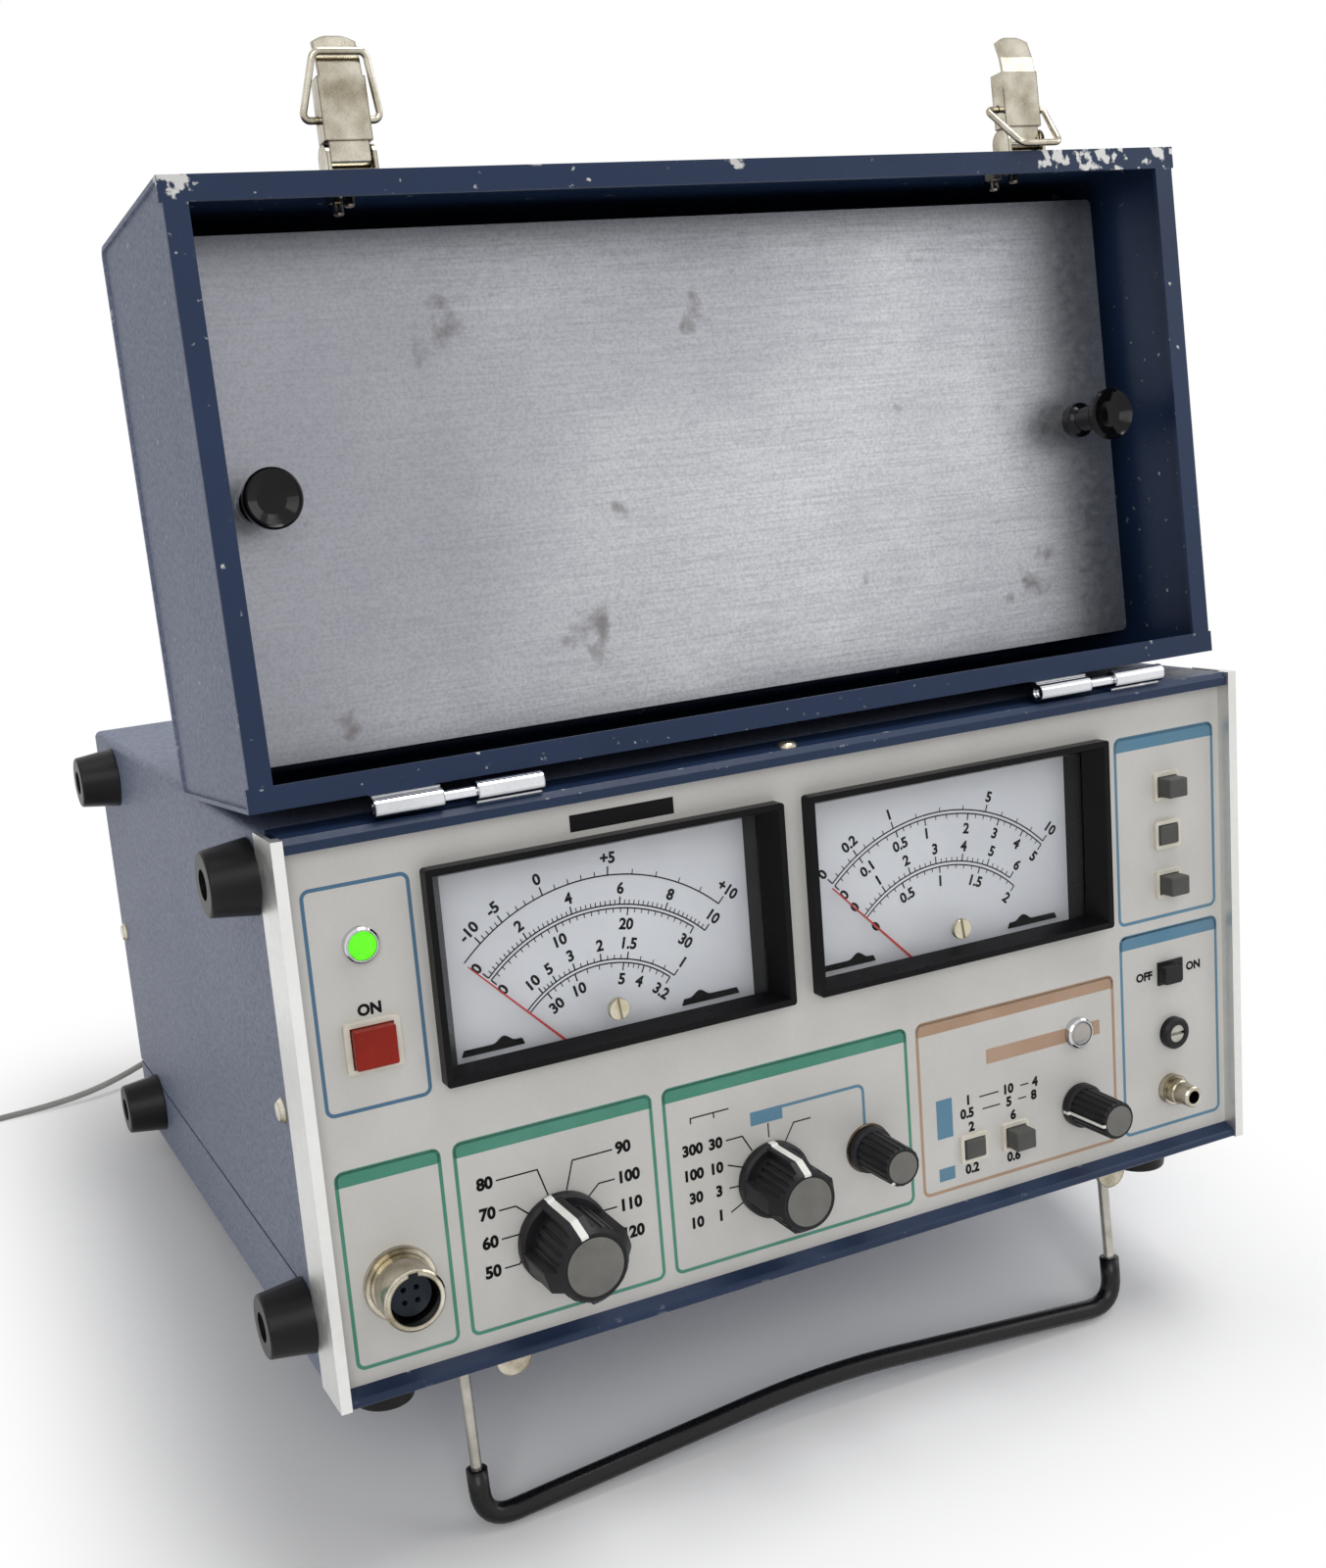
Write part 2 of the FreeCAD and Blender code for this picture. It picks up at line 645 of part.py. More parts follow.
def latch_bail(turn):
    """The wire loop: its ends in the lever, its cross bar turned forward from upright."""
    pivot = V(LATCH_X, BAIL_PIVOT[0], LID_H + BAIL_PIVOT[1])
    angle = math.radians(turn)
    way = V(0, -math.sin(angle), math.cos(angle))

    def at(x, reach):
        return pivot + V(x, 0, 0) + way * reach
    inner = LATCH_HALF - 0.3 - LATCH_SHEET
    corners = [at(-inner, 0), at(-BAIL_HALF, 0), at(-BAIL_END_HALF, BAIL_LENGTH),
               at(BAIL_END_HALF, BAIL_LENGTH), at(BAIL_HALF, 0), at(inner, 0)]
    return tube(rounded_path(corners, [1.6, 2.2, 2.2, 1.6]), BAIL_D)


# Front panel and meters

def meter_neck(x):
    """Centre, size and middle height of the part of a meter that goes through the panel."""
    size = (WINDOW_W + 2 * METER_NECK, WINDOW_H + 2 * METER_NECK)
    return x, WINDOW_Z + WINDOW_H / 2, size


def front_panel():
    edge = TRIM_WALL + SEAT_GAP
    plate = block(edge, CASE_W - edge, PANEL_Y, PANEL_BACK, SHEET + SEAT_GAP, CASE_H - SHEET - SEAT_GAP)
    holes = []
    for x in METER_X:
        at_x, at_z, size = meter_neck(x)
        holes.append(pad_y(at_x, at_z, (size[0] + 0.2, size[1] + 0.2), 0, 2 * PANEL_BACK))
    rounds = [(at, LENS_D + 1.0) for at in LAMP_AT]
    rounds += [(at, BUSH_D) for at in (LEVEL_AT, RANGE_AT, SET_AT, VARIABLE_AT)]
    rounds += [(MIC_AT, MIC_BARREL_D), (TRIMMER_AT, TRIMMER_SHAFT_D + 2.0), (JACK_AT, JACK_BARREL_D)]
    for at, diameter in rounds:
        holes.append(rod_y(at[0], at[1], diameter / 2 + SEAT_GAP, 0, 2 * PANEL_BACK))
    for at, size in button_places():
        holes.append(pad_y(at[0], at[1], (size[0] + 2.0, size[1] + 2.0), 0, 2 * PANEL_BACK))
    slot = (SLIDE_FRAME[0] - 1.0, SLIDE_FRAME[1] - 1.0)
    holes.append(pad_y(SLIDE_AT[0], SLIDE_AT[1], slot, 0, 2 * PANEL_BACK))
    return plate.cut(holes)


def meter_frame(x):
    z = METER_Z + METER_H / 2
    front = PANEL_Y - METER_PROUD
    flange = pad_y(x, z, (METER_W, METER_H), front, PANEL_Y, 1.0)
    at_x, at_z, size = meter_neck(x)
    body = joined([flange, pad_y(at_x, at_z, size, front + 1, WINDOW_Y + WINDOW_T)])
    rim = (METER_W - 2 * METER_RIM, METER_H - 2 * METER_RIM)
    wide = rectangle(x, front, z, rim)
    narrow = rectangle(x, WINDOW_Y, at_z, (WINDOW_W, WINDOW_H))
    bevel = Part.makeLoft([wide, narrow], True, True)
    seat = (WINDOW_W + 1.2, WINDOW_H + 1.2)
    return body.cut([bevel, pad_y(at_x, at_z, seat, WINDOW_Y, WINDOW_Y + 2 * WINDOW_T)])


def rectangle(x, y, z, size):
    half_w = size[0] / 2
    half_h = size[1] / 2
    corners = [V(x - half_w, y, z - half_h), V(x + half_w, y, z - half_h),
               V(x + half_w, y, z + half_h), V(x - half_w, y, z + half_h)]
    return Part.makePolygon(corners + corners[:1])


def meter_window(x):
    at_z = WINDOW_Z + WINDOW_H / 2
    pane = pad_y(x, at_z, (WINDOW_W + 1.0, WINDOW_H + 1.0), WINDOW_Y + 0.05, WINDOW_Y + WINDOW_T)
    return pane.cut(rod_y(x, ZERO_Z, ZERO_D / 2 - 0.8, 0, 2 * WINDOW_Y))


def meter_housing(x):
    """The box behind the panel, with the moving coil's block and pivot at its foot."""
    front = WINDOW_Y + WINDOW_T
    top = WINDOW_Z + WINDOW_H + METER_NECK
    half = WINDOW_W / 2 + METER_NECK
    outer = block(x - half, x + half, front, HOUSING_BACK, HOUSING_BOTTOM, top)
    wall = HOUSING_WALL
    inner = block(x - half + wall, x + half - wall, front - 1, HOUSING_BACK - wall,
                  HOUSING_BOTTOM + wall, top - wall)
    shell = outer.cut(inner)
    coil = rod_y(x, POINTER_Z + 8.0, 11.0, SCALE_Y + 5, HOUSING_BACK - wall)
    pin = rod_y(x, POINTER_Z, 0.8, POINTER_Y - 0.5, SCALE_Y + 8)
    return joined([shell, coil, pin])


def meter_scale(x):
    half = WINDOW_W / 2 + METER_NECK - HOUSING_WALL
    top = WINDOW_Z + WINDOW_H + METER_NECK - HOUSING_WALL
    return block(x - half, x + half, SCALE_Y, SCALE_Y + SCALE_T, WINDOW_Z - 5.0, top)


def meter_pointer(x):
    """A hub with a tapering needle and a short tail, upright, then turned to zero."""
    hub = rod_y(x, POINTER_Z, 3.0, POINTER_Y - 0.4, POINTER_Y + 1.2)
    low = POINTER_Z - POINTER_TAIL
    high = POINTER_Z + POINTER_R
    blade = [V(x - POINTER_W / 2, POINTER_Y, low), V(x + POINTER_W / 2, POINTER_Y, low),
             V(x + POINTER_TIP / 2, POINTER_Y, high), V(x - POINTER_TIP / 2, POINTER_Y, high)]
    needle = Part.Face(Part.makePolygon(blade + blade[:1])).extrude(V(0, 0.5, 0))
    solid = joined([hub, needle]).cut(rod_y(x, POINTER_Z, 0.8 + PIVOT_GAP, 0, 2 * SCALE_Y))
    solid.rotate(V(x, 0, POINTER_Z), Y_AXIS, POINTER_ZERO)
    return solid


def zero_adjuster(x):
    radius = ZERO_D / 2
    head = rod_y(x, ZERO_Z, radius, WINDOW_Y - 1.4, WINDOW_Y)
    stem = rod_y(x, ZERO_Z, radius - 0.8 - SHAFT_GAP, WINDOW_Y - 1, WINDOW_Y + WINDOW_T + 1.5)
    slot = block(x - radius, x + radius, WINDOW_Y - 2, WINDOW_Y - 0.7, ZERO_Z - 0.5, ZERO_Z + 0.5)
    return joined([head, stem]).cut(slot)


# Lamps, buttons and the rest of the panel

def lamp_bezel(at):
    bore = LENS_D / 2 + SEAT_GAP
    barrel = LENS_D / 2 + 0.5
    front = PANEL_Y - LAMP_PROUD
    back = PANEL_BACK + 9
    profile = [(bore, front), (LAMP_D / 2 - 0.5, front), (LAMP_D / 2, front + 0.5), (LAMP_D / 2, PANEL_Y),
               (barrel, PANEL_Y), (barrel, back), (0, back), (0, back - 1), (bore - 0.6, back - 1),
               (bore - 0.6, PANEL_BACK + 3), (bore, PANEL_BACK + 3)]
    return spun_y(at[0], at[1], profile)


def lamp_lens(at):
    radius = LENS_D / 2
    front = PANEL_Y - LAMP_PROUD
    back = PANEL_BACK + 3
    profile = [(0, front - 0.9), (radius * 0.5, front - 0.7), (radius * 0.85, front - 0.2),
               (radius, front + 0.4), (radius, back), (0, back)]
    return spun_y(at[0], at[1], profile)


def button_places():
    """Each push switch as its place and cap size."""
    places = [(POWER_AT, POWER_CAP)]
    places += [((FUNCTION_X, z), BUTTON_CAP) for z in FUNCTION_Z]
    places += [((x, OUTPUT_Z), BUTTON_CAP) for x in OUTPUT_X]
    return places


def push_bezel(at, cap, bezel, proud):
    """A moulded frame with a sleeve through the panel and the switch block behind it."""
    hole = (cap[0] + 2 * CAP_GAP, cap[1] + 2 * CAP_GAP)
    sleeve = (cap[0] + 1.8, cap[1] + 1.8)
    back = PANEL_BACK + BUTTON_LENGTH + 2
    frame = pad_y(at[0], at[1], bezel, PANEL_Y - proud, PANEL_Y, 0.8)
    throat = pad_y(at[0], at[1], sleeve, PANEL_Y - proud / 2, PANEL_BACK)
    case = pad_y(at[0], at[1], (cap[0] + 4, cap[1] + 4), PANEL_BACK, back)
    well = pad_y(at[0], at[1], hole, 0, back - 1.5)
    front_well = pad_y(at[0], at[1], hole, PANEL_Y - 2 * proud, PANEL_Y)
    return joined([frame, throat, case]).cut([well, front_well])


def push_cap(at, cap, out, length):
    front = PANEL_Y - out
    solid = pad_y(at[0], at[1], cap, front, front + length, 0.6)
    face = [e for e in solid.Edges if e.BoundBox.YMax < front + 0.1]
    return solid.makeFillet(0.5, face)


def button_out(pressed):
    return BUTTON_OUT - (BUTTON_TRAVEL if pressed else 0.0)


def mic_shell():
    back = PANEL_BACK + 6
    bore = MIC_BORE_D / 2
    barrel = MIC_BARREL_D / 2
    front = PANEL_Y - MIC_PROUD
    profile = [(bore, front), (barrel - 0.5, front), (barrel, front + 0.5), (barrel, PANEL_Y - 1.8),
               (MIC_FLANGE_D / 2, PANEL_Y - 1.8), (MIC_FLANGE_D / 2, PANEL_Y), (barrel, PANEL_Y),
               (barrel, back), (bore, back)]
    key = block(MIC_AT[0] - 1.2, MIC_AT[0] + 1.2, front - 1, front + 5,
                MIC_AT[1] + bore - 0.4, MIC_AT[1] + bore + 0.9)
    return spun_y(MIC_AT[0], MIC_AT[1], profile).cut(key)


def mic_insert():
    back = PANEL_BACK + 6
    front = PANEL_Y - MIC_PROUD + 4.0
    profile = [(0, front), (MIC_INSERT_D / 2, front), (MIC_INSERT_D / 2, PANEL_Y),
               (MIC_BORE_D / 2, PANEL_Y), (MIC_BORE_D / 2, back), (0, back)]
    holes = []
    for side_x in (-0.5, 0.5):
        for side_z in (-0.5, 0.5):
            x = MIC_AT[0] + side_x * MIC_HOLE_PITCH
            z = MIC_AT[1] + side_z * MIC_HOLE_PITCH
            holes.append(rod_y(x, z, MIC_HOLE_D / 2, front - 1, front + 6))
    return spun_y(MIC_AT[0], MIC_AT[1], profile).cut(holes)


def output_jack():
    bore = JACK_BORE_D / 2
    barrel = JACK_BARREL_D / 2
    nut = JACK_NUT_D / 2
    front = PANEL_Y - JACK_PROUD
    back = PANEL_BACK + 8
    profile = [(bore, front), (barrel - 0.4, front), (barrel, front + 0.4), (barrel, PANEL_Y - 5),
               (barrel + 0.5, PANEL_Y - 4.6), (barrel + 0.5, PANEL_Y - 2.4), (nut, PANEL_Y - 2.4),
               (nut, PANEL_Y), (barrel, PANEL_Y), (barrel, back), (0, back), (0, back - 1), (bore, back - 1)]
    return spun_y(JACK_AT[0], JACK_AT[1], profile)


def rotary_body(at, diameter, length):
    """A rotary switch or control with its bush through the panel and a bore for the shaft."""
    body = rod_y(at[0], at[1], diameter / 2, PANEL_BACK, PANEL_BACK + length)
    bush = rod_y(at[0], at[1], BUSH_D / 2, PANEL_Y, PANEL_BACK + 1)
    bore = rod_y(at[0], at[1], SHAFT_D / 2 + SHAFT_GAP, 0, PANEL_BACK + length - 2)
    return joined([body, bush]).cut(bore)


def knob_shaft(at, length):
    return rod_y(at[0], at[1], SHAFT_D / 2, PANEL_Y - KNOB_LIFT - 2, PANEL_BACK + length - 3)


def wing_knob(at, size, angle):
    """A bar knob with a round skirt, four wings and ribbed flanks, pointer up, then turned."""
    x, z = at
    skirt_d, height, cap_d = size
    back = PANEL_Y - KNOB_LIFT
    front = PANEL_Y - height
    wing = skirt_d / 2 - 0.5
    core = skirt_d * 0.40
    cap = cap_d / 2
    skirt = spun_y(x, z, [(0, back - 3), (skirt_d / 2 - 0.8, back - 3), (skirt_d / 2, back - 2.2),
                          (skirt_d / 2, back), (0, back)])
    bar_w = skirt_d * 0.24
    core_rod = rod_y(x, z, core, front, back - 1)
    bars = [pad_y(x, z, (2 * wing, bar_w), front, back - 1), pad_y(x, z, (bar_w, 2 * wing), front, back - 1)]
    envelope = spun_y(x, z, [(0, front), (cap + 0.9, front), (wing + 0.2, front + 4.5),
                             (wing + 0.2, back), (0, back)])
    body = joined([core_rod] + bars).common(envelope)
    grooves = []
    for quarter in range(4):
        for step in (-1, 0, 1):
            turn = math.radians(45 + 90 * quarter + 14 * step)
            rib = rod_y(x + core * math.sin(turn), z + core * math.cos(turn), 0.55, front - 1, back - 5)
            grooves.append(rib)
    recess = rod_y(x, z, cap + 0.05, front - 1, front + 0.8)
    solid = joined([body.cut(grooves), skirt, knob_shaft(at, SWITCH_LENGTH)]).cut(recess)
    solid.rotate(V(x, 0, z), Y_AXIS, angle)
    return [solid, rod_y(x, z, cap, front - 0.1, front + 0.8)]


def ribbed_knob(at, size, angle):
    """A small tapered knob with ribs all round and a marker groove, then turned."""
    x, z = at
    base_d, height, cap_d = size
    back = PANEL_Y - KNOB_LIFT
    front = PANEL_Y - height
    cap = cap_d / 2
    body = spun_y(x, z, [(0, front), (cap + 0.5, front), (cap + 0.9, front + 0.5),
                         (base_d / 2 - 0.8, back - 2.6),
                         (base_d / 2, back - 2.2), (base_d / 2, back), (0, back)])
    grooves = []
    for step in range(18):
        turn = math.radians(20 * step + 10)
        tip_r = cap + 0.95
        foot_r = base_d / 2 - 0.7
        tip = V(x + tip_r * math.sin(turn), front - 1, z + tip_r * math.cos(turn))
        foot = V(x + foot_r * math.sin(turn), back - 3.0, z + foot_r * math.cos(turn))
        grooves.append(Part.makeCylinder(0.5, (foot - tip).Length, tip, foot - tip))
    recess = rod_y(x, z, cap + 0.05, front - 1, front + 0.8)
    solid = joined([body.cut(grooves), knob_shaft(at, POT_LENGTH)]).cut(recess)
    solid.rotate(V(x, 0, z), Y_AXIS, angle)
    return [solid, rod_y(x, z, cap, front - 0.1, front + 0.8)]


def slide_frame():
    x, z = SLIDE_AT
    slot = (SLIDE_TAB[0] + SLIDE_TRAVEL + 0.6, SLIDE_TAB[1] + 0.4)
    outer = (SLIDE_FRAME[0] - 1.2, SLIDE_FRAME[1] - 1.2)
    lip = pad_y(x, z, SLIDE_FRAME, PANEL_Y - SLIDE_LIP, PANEL_Y)
    neck = pad_y(x, z, outer, PANEL_Y - 0.2, PANEL_BACK)
    body = joined([lip, neck, pad_y(x, z, SLIDE_BODY, PANEL_BACK, PANEL_BACK + SLIDE_BODY_DEPTH)])
    return body.cut(pad_y(x, z, slot, 0, PANEL_BACK + 5))


def slide_tab():
    """The stem through the frame's slot, with a finger cap in front of the frame."""
    x = SLIDE_AT[0] - SLIDE_TRAVEL / 2
    back = PANEL_Y - SLIDE_LIP - SLIDE_CAP_GAP
    stem = pad_y(x, SLIDE_AT[1], SLIDE_TAB, back - 1, PANEL_BACK + 4.8, 0.3)
    return joined([stem, pad_y(x, SLIDE_AT[1], SLIDE_CAP, back - SLIDE_CAP_T, back, 0.4)])


def trimmer_bush():
    bore = TRIMMER_SHAFT_D / 2 + SHAFT_GAP
    front = PANEL_Y - TRIMMER_PROUD
    rim = TRIMMER_BUSH_D / 2
    neck = TRIMMER_SHAFT_D / 2 + 1.0
    back = PANEL_BACK + 9
    profile = [(bore, front), (rim - 0.7, front), (rim, front + 0.7), (rim, PANEL_Y), (neck, PANEL_Y),
               (neck, PANEL_BACK), (rim + 1.5, PANEL_BACK), (rim + 1.5, back), (0, back), (0, back - 1),
               (bore, back - 1)]
    return spun_y(TRIMMER_AT[0], TRIMMER_AT[1], profile)


def trimmer_shaft():
    x, z = TRIMMER_AT
    front = PANEL_Y - TRIMMER_PROUD + 0.4
    radius = TRIMMER_SHAFT_D / 2
    shaft = rod_y(x, z, radius, front, PANEL_BACK + 7.8)
    return shaft.cut(block(x - radius, x + radius, front - 1, front + 1.2, z - 0.5, z + 0.5))


# Carrying strap, inner works and rear fittings

def strap_outline(inner, outer):
    """The bowed strap seen from above, between two offsets from the wall."""
    y0, y1 = STRAP_ENDS
    middle = (y0 + y1) / 2
    return V(RIGHT_WALL + inner, y0, 0), V(RIGHT_WALL + outer, middle, 0), V(RIGHT_WALL + inner, y1, 0)


def handle_strap():
    low = strap_outline(0, STRAP_BOW - STRAP_T)
    high = strap_outline(STRAP_T, STRAP_BOW)
    tab = CAP_LENGTH / 2
    y0, y1 = STRAP_ENDS
    inner = Part.Arc(*low).toShape()
    outer = Part.Arc(high[2], high[1], high[0]).toShape()
    far = [low[2], V(RIGHT_WALL, y1 + tab, 0), V(RIGHT_WALL + STRAP_T, y1 + tab, 0), high[2]]
    near = [high[0], V(RIGHT_WALL + STRAP_T, y0 - tab, 0), V(RIGHT_WALL, y0 - tab, 0), low[0]]
    wire = Part.Wire([inner] + Part.makePolygon(far).Edges + [outer] + Part.makePolygon(near).Edges)
    strap = Part.Face(wire).extrude(V(0, 0, STRAP_W))
    strap.translate(V(0, 0, STRAP_Z - STRAP_W / 2))
    return strap


def handle_cap(y, way):
    """A pressed end cap over the flat end of the strap, open towards the grip."""
    half = STRAP_W / 2 + SEAT_GAP
    tip = y + way * (CAP_LENGTH / 2 + SEAT_GAP)
    lo, hi = sorted((y, tip))
    outer_lo, outer_hi = sorted((y, tip + way * CAP_WALL))
    top = RIGHT_WALL + STRAP_T + SEAT_GAP
    reach = half + CAP_WALL
    body = block(RIGHT_WALL, top + CAP_WALL, outer_lo, outer_hi, STRAP_Z - reach, STRAP_Z + reach)
    body = body.makeFillet(1.2, [e for e in body.Edges if e.BoundBox.XMin > top + CAP_WALL - 0.1])
    if way > 0:
        lo -= 1
    else:
        hi += 1
    room = block(RIGHT_WALL - 1, top, lo, hi, STRAP_Z - half, STRAP_Z + half)
    swell = block(top - 1, top + CAP_WALL + 1, outer_lo, outer_hi, STRAP_Z - half, STRAP_Z + half)
    mouth = swell.common(block(top - 2, top + 9, y - 3, y + 3, 0, CASE_H))
    return body.cut([room, mouth])


def main_board():
    """The circuit board on four pillars, with its larger parts."""
    x0, x1, y0, y1 = BOARD_BOX
    base = 2 * SHEET + CHASSIS_GAP
    top = BOARD_Z + BOARD_T
    solids = [block(x0, x1, y0, y1, BOARD_Z, top)]
    for x in (x0 + 6, x1 - 6):
        for y in (y0 + 6, y1 - 6):
            solids.append(rod_z(x, y, 3.0, base, BOARD_Z))
    for index in range(6):
        solids.append(rod_z(x0 + 25 + 24 * index, y1 - 22, 6.0, top, top + 22))
        solids.append(block(x0 + 15 + 24 * index, x0 + 34 + 24 * index, y0 + 40, y0 + 47, top, top + 4))
    return solids


def power_transformer():
    x0, x1, y0, y1 = CORE_BOX
    base = 2 * SHEET + CHASSIS_GAP
    middle = (y0 + y1) / 2
    core = block(x0, x1, middle - CORE_STACK / 2, middle + CORE_STACK / 2, base, base + CORE_H)
    window = block(x0 + 9, x1 - 9, y0, y1, base + 9, base + CORE_H - 9)
    leg = block((x0 + x1) / 2 - 9, (x0 + x1) / 2 + 9, y0, y1, base, base + CORE_H)
    winding = block(x0 + 10, x1 - 10, y0, y1, base + 10, base + CORE_H - 10)
    winding = winding.makeFillet(4.0, edges_along(winding, V(0, 0, 1)))
    frame = core.cut(window.cut(leg))
    return [frame, winding.cut(frame)]


def cord_gland():
    """A moulded relief with a flange on the rear panel and a ribbed taper round the cord."""
    wall = CASE_D - SHEET
    tip = CASE_D + GLAND_OUT
    bore = CORD_D / 2
    base = GLAND_BASE_D / 2
    profile = [(0, wall - 2 * SHEET), (base - 1.1, wall - 2 * SHEET), (base - 1.1, wall), (base + 2, wall),
               (base + 2, wall + 2)]
    ribs = 5
    for rib in range(ribs):
        start = wall + 2 + (tip - wall - 2) * rib / ribs
        end = wall + 2 + (tip - wall - 2) * (rib + 0.7) / ribs
        radius = base + (GLAND_TIP_D / 2 - base) * rib / (ribs - 1)
        profile += [(radius, start), (radius, end)]
        if rib < ribs - 1:
            profile += [(radius - 0.9, end), (radius - 0.9, wall + 2 + (tip - wall - 2) * (rib + 1) / ribs)]
    profile += [(GLAND_TIP_D / 2, tip), (0, tip)]
    return spun_y(GLAND_X, GLAND_Z, profile)


# Stance: the case leans back on its rear feet and the stand's floor bar

def stance():
    """The turn and lift that bring the case frame onto the floor, at height zero."""
    heel = V(0, BOTTOM_FOOT_Y[1] + FOOT_TIP_D / 2, -BOTTOM_FOOT_H)
    run = heel.y - STAND_BAR[0]
    rise = heel.z - STAND_BAR[1]
    turn = math.degrees(math.atan2(rise, run) + math.asin(SLEEVE_D / 2 / math.hypot(run, rise)))
    rotation = FreeCAD.Rotation(X_AXIS, -turn)
    return FreeCAD.Placement(V(0, 0, -rotation.multVec(heel).z), rotation)


def lid_stance():
    """The open lid's place in the case frame."""
    closed_corner = V(0, -LID_GAP - HINGE_Y, -HINGE_RISE)
    corner = FreeCAD.Rotation(X_AXIS, -CLOSED_TURN).multVec(closed_corner)
    at = V(LID_SHIFT, HINGE_Y + corner.y, HINGE_Z + corner.z)
    return FreeCAD.Placement(at, FreeCAD.Rotation(X_AXIS, -LID_LEAN))


STANCE = stance()
LID_STANCE = lid_stance()
CORD_EXIT = STANCE.multVec(V(GLAND_X, CASE_D + GLAND_OUT, GLAND_Z))
CORD_WAY = STANCE.Rotation.multVec(Y_AXIS)
FLOOR_CORD = CORD_D / 2
COIL_START = V(COIL_X + 2 * CORD_D, COIL_Y + COIL_OUTER_R, FLOOR_CORD)


# Mains cord, on the floor

def cord_route():
    """The free stretch from the gland to the coil, chosen point by point."""
    return [CORD_EXIT, CORD_EXIT + CORD_WAY * 11.0, V(36, 281, 16.6), V(22, 282.5, 11.6), V(5, 277.5, 7.0),
            V(-13, 273.4, 3.6), V(-31, 272.6, 1.7), V(-48, 272.4, FLOOR_CORD),
            COIL_START + V(14, 0, 0), COIL_START]


def cord_radii(points):
    radii = []
    for index in range(1, len(points) - 1):
        back = points[index - 1] - points[index]
        ahead = points[index + 1] - points[index]
        turn = math.pi - back.getAngle(ahead)
        radii.append(0.45 * min(back.Length, ahead.Length) / math.tan(turn / 2))
    return radii


def coil_path():
    """Layers that spiral in and out by turns and climb in the half turn between them."""
    edges = [Part.LineSegment(COIL_START, V(COIL_X, COIL_START.y, FLOOR_CORD)).toShape()]
    side = 1
    radius = COIL_OUTER_R
    height = FLOOR_CORD
    for layer, half_turns in enumerate(COIL_HALF_TURNS):
        step = COIL_PITCH / 2 * (-1 if layer % 2 == 0 else 1)
        changes = [step] * half_turns
        if layer > 0:
            changes[0] = 2 * step
        steps = [(change, 0.0) for change in changes]
        if layer < len(COIL_HALF_TURNS) - 1:
            steps[-1] = (2 * step, 0.0)
            steps.append((0.0, COIL_PITCH))
        for change, climb in steps:
            start = V(COIL_X, COIL_Y + side * radius, height)
            radius += change
            height += climb
            end = V(COIL_X, COIL_Y - side * radius, height)
            edges += biarc(start, V(-side, 0, 0), end, V(side, 0, 0))
            side = -side
    top = V(COIL_X, COIL_Y + side * radius, height)
    start = top + V(-side * COIL_TAIL, 0, 0)
    edges.append(Part.LineSegment(top, start).toShape())
    plug = V(PLUG_X, PLUG_Y, PLUG_T / 2)
    tail = plug + V(0, CORD_D, 0)
    edges += biarc(start, V(-side, 0, 0), tail, V(0, -1, 0))
    edges.append(Part.LineSegment(tail, plug).toShape())
    return Part.Wire(edges)


def least_gap(path, diameter):
    """The least clear distance between turns of a tube, measured on points along it."""
    points = path.discretize(Distance=1.2)
    skip = int(4 * diameter / 1.2)
    least = 1e9
    for index, point in enumerate(points):
        for other in points[index + skip:]:
            gap = (point.x - other.x) ** 2 + (point.y - other.y) ** 2 + (point.z - other.z) ** 2
            least = min(least, gap)
    return math.sqrt(least) - diameter


def mains_plug():
    """A flat two-pin plug lying on the floor, its neck towards the coil."""
    neck_end = PLUG_Y - PLUG_NECK
    face = neck_end - PLUG_LENGTH
    middle = PLUG_T / 2
    tail = V(PLUG_X, PLUG_Y, middle)
    neck = Part.makeCone(CORD_D / 2 + 1.0, PLUG_T / 2 - 0.8, PLUG_NECK, tail, V(0, -1, 0))
    body = block(PLUG_X - PLUG_W / 2, PLUG_X + PLUG_W / 2, face, neck_end, 0, PLUG_T)
    body = body.makeFillet(3.0, edges_along(body, Y_AXIS))
    solids = joined([neck, body]).Solids
    low = middle - PIN_W / 2
    for side in (-0.5, 0.5):
        x = PLUG_X + side * PIN_PITCH
        solids.append(block(x - PIN_T / 2, x + PIN_T / 2, face - PIN_LENGTH, face, low, low + PIN_W))
    return solids


# Assembly

def on_lid(solids):
    return [solid.transformed(LID_STANCE.toMatrix(), True) for solid in solids]


def second_hinge(solid):
    return solid.translated(V(CASE_W - 2 * HINGE_X, 0, 0))


def latch_turn(solid):
    """The same latch piece on the right of the lid."""
    return solid.translated(V(CASE_W - 2 * LATCH_X, 0, 0))


def build_case():
    add("front_panel", front_panel())
    add("panel_trims", pair(trim()))
    add("front_rails", [top_rail(), bottom_rail()])
    add("top_cover", cover_sleeve(SEAM_Z + SEAM_GAP / 2, CASE_H))
    add("bottom_cover", cover_sleeve(0, SEAM_Z - SEAM_GAP / 2))
    add("chassis", chassis())
    add("main_board", main_board())
    add("power_transformer", power_transformer())
    add("rubber_feet", rubber_feet())
    add("case_screws", case_screws())
    add("latch_keepers", pair(latch_keeper()))
    add("stand_brackets", pair(stand_bracket()))
    add("stand_bail", tube(stand_path(0), WIRE_D))
    add("stand_sleeve", stand_sleeve())
    add("handle_strap", handle_strap())
    add("handle_caps", [handle_cap(STRAP_ENDS[0], -1), handle_cap(STRAP_ENDS[1], 1)])
    hinge = case_hinge()
    add("case_hinge_leaves", [hinge, second_hinge(hinge)])


def build_meters():
    add("meter_frames", [meter_frame(x) for x in METER_X])
    add("meter_windows", [meter_window(x) for x in METER_X])
    add("meter_movements", [meter_housing(x) for x in METER_X])
    add("meter_scales", [meter_scale(x) for x in METER_X])
    for side, x in zip(("left", "right"), METER_X):
        add("meter_pointer_" + side, meter_pointer(x))
        add("zero_adjuster_" + side, zero_adjuster(x))


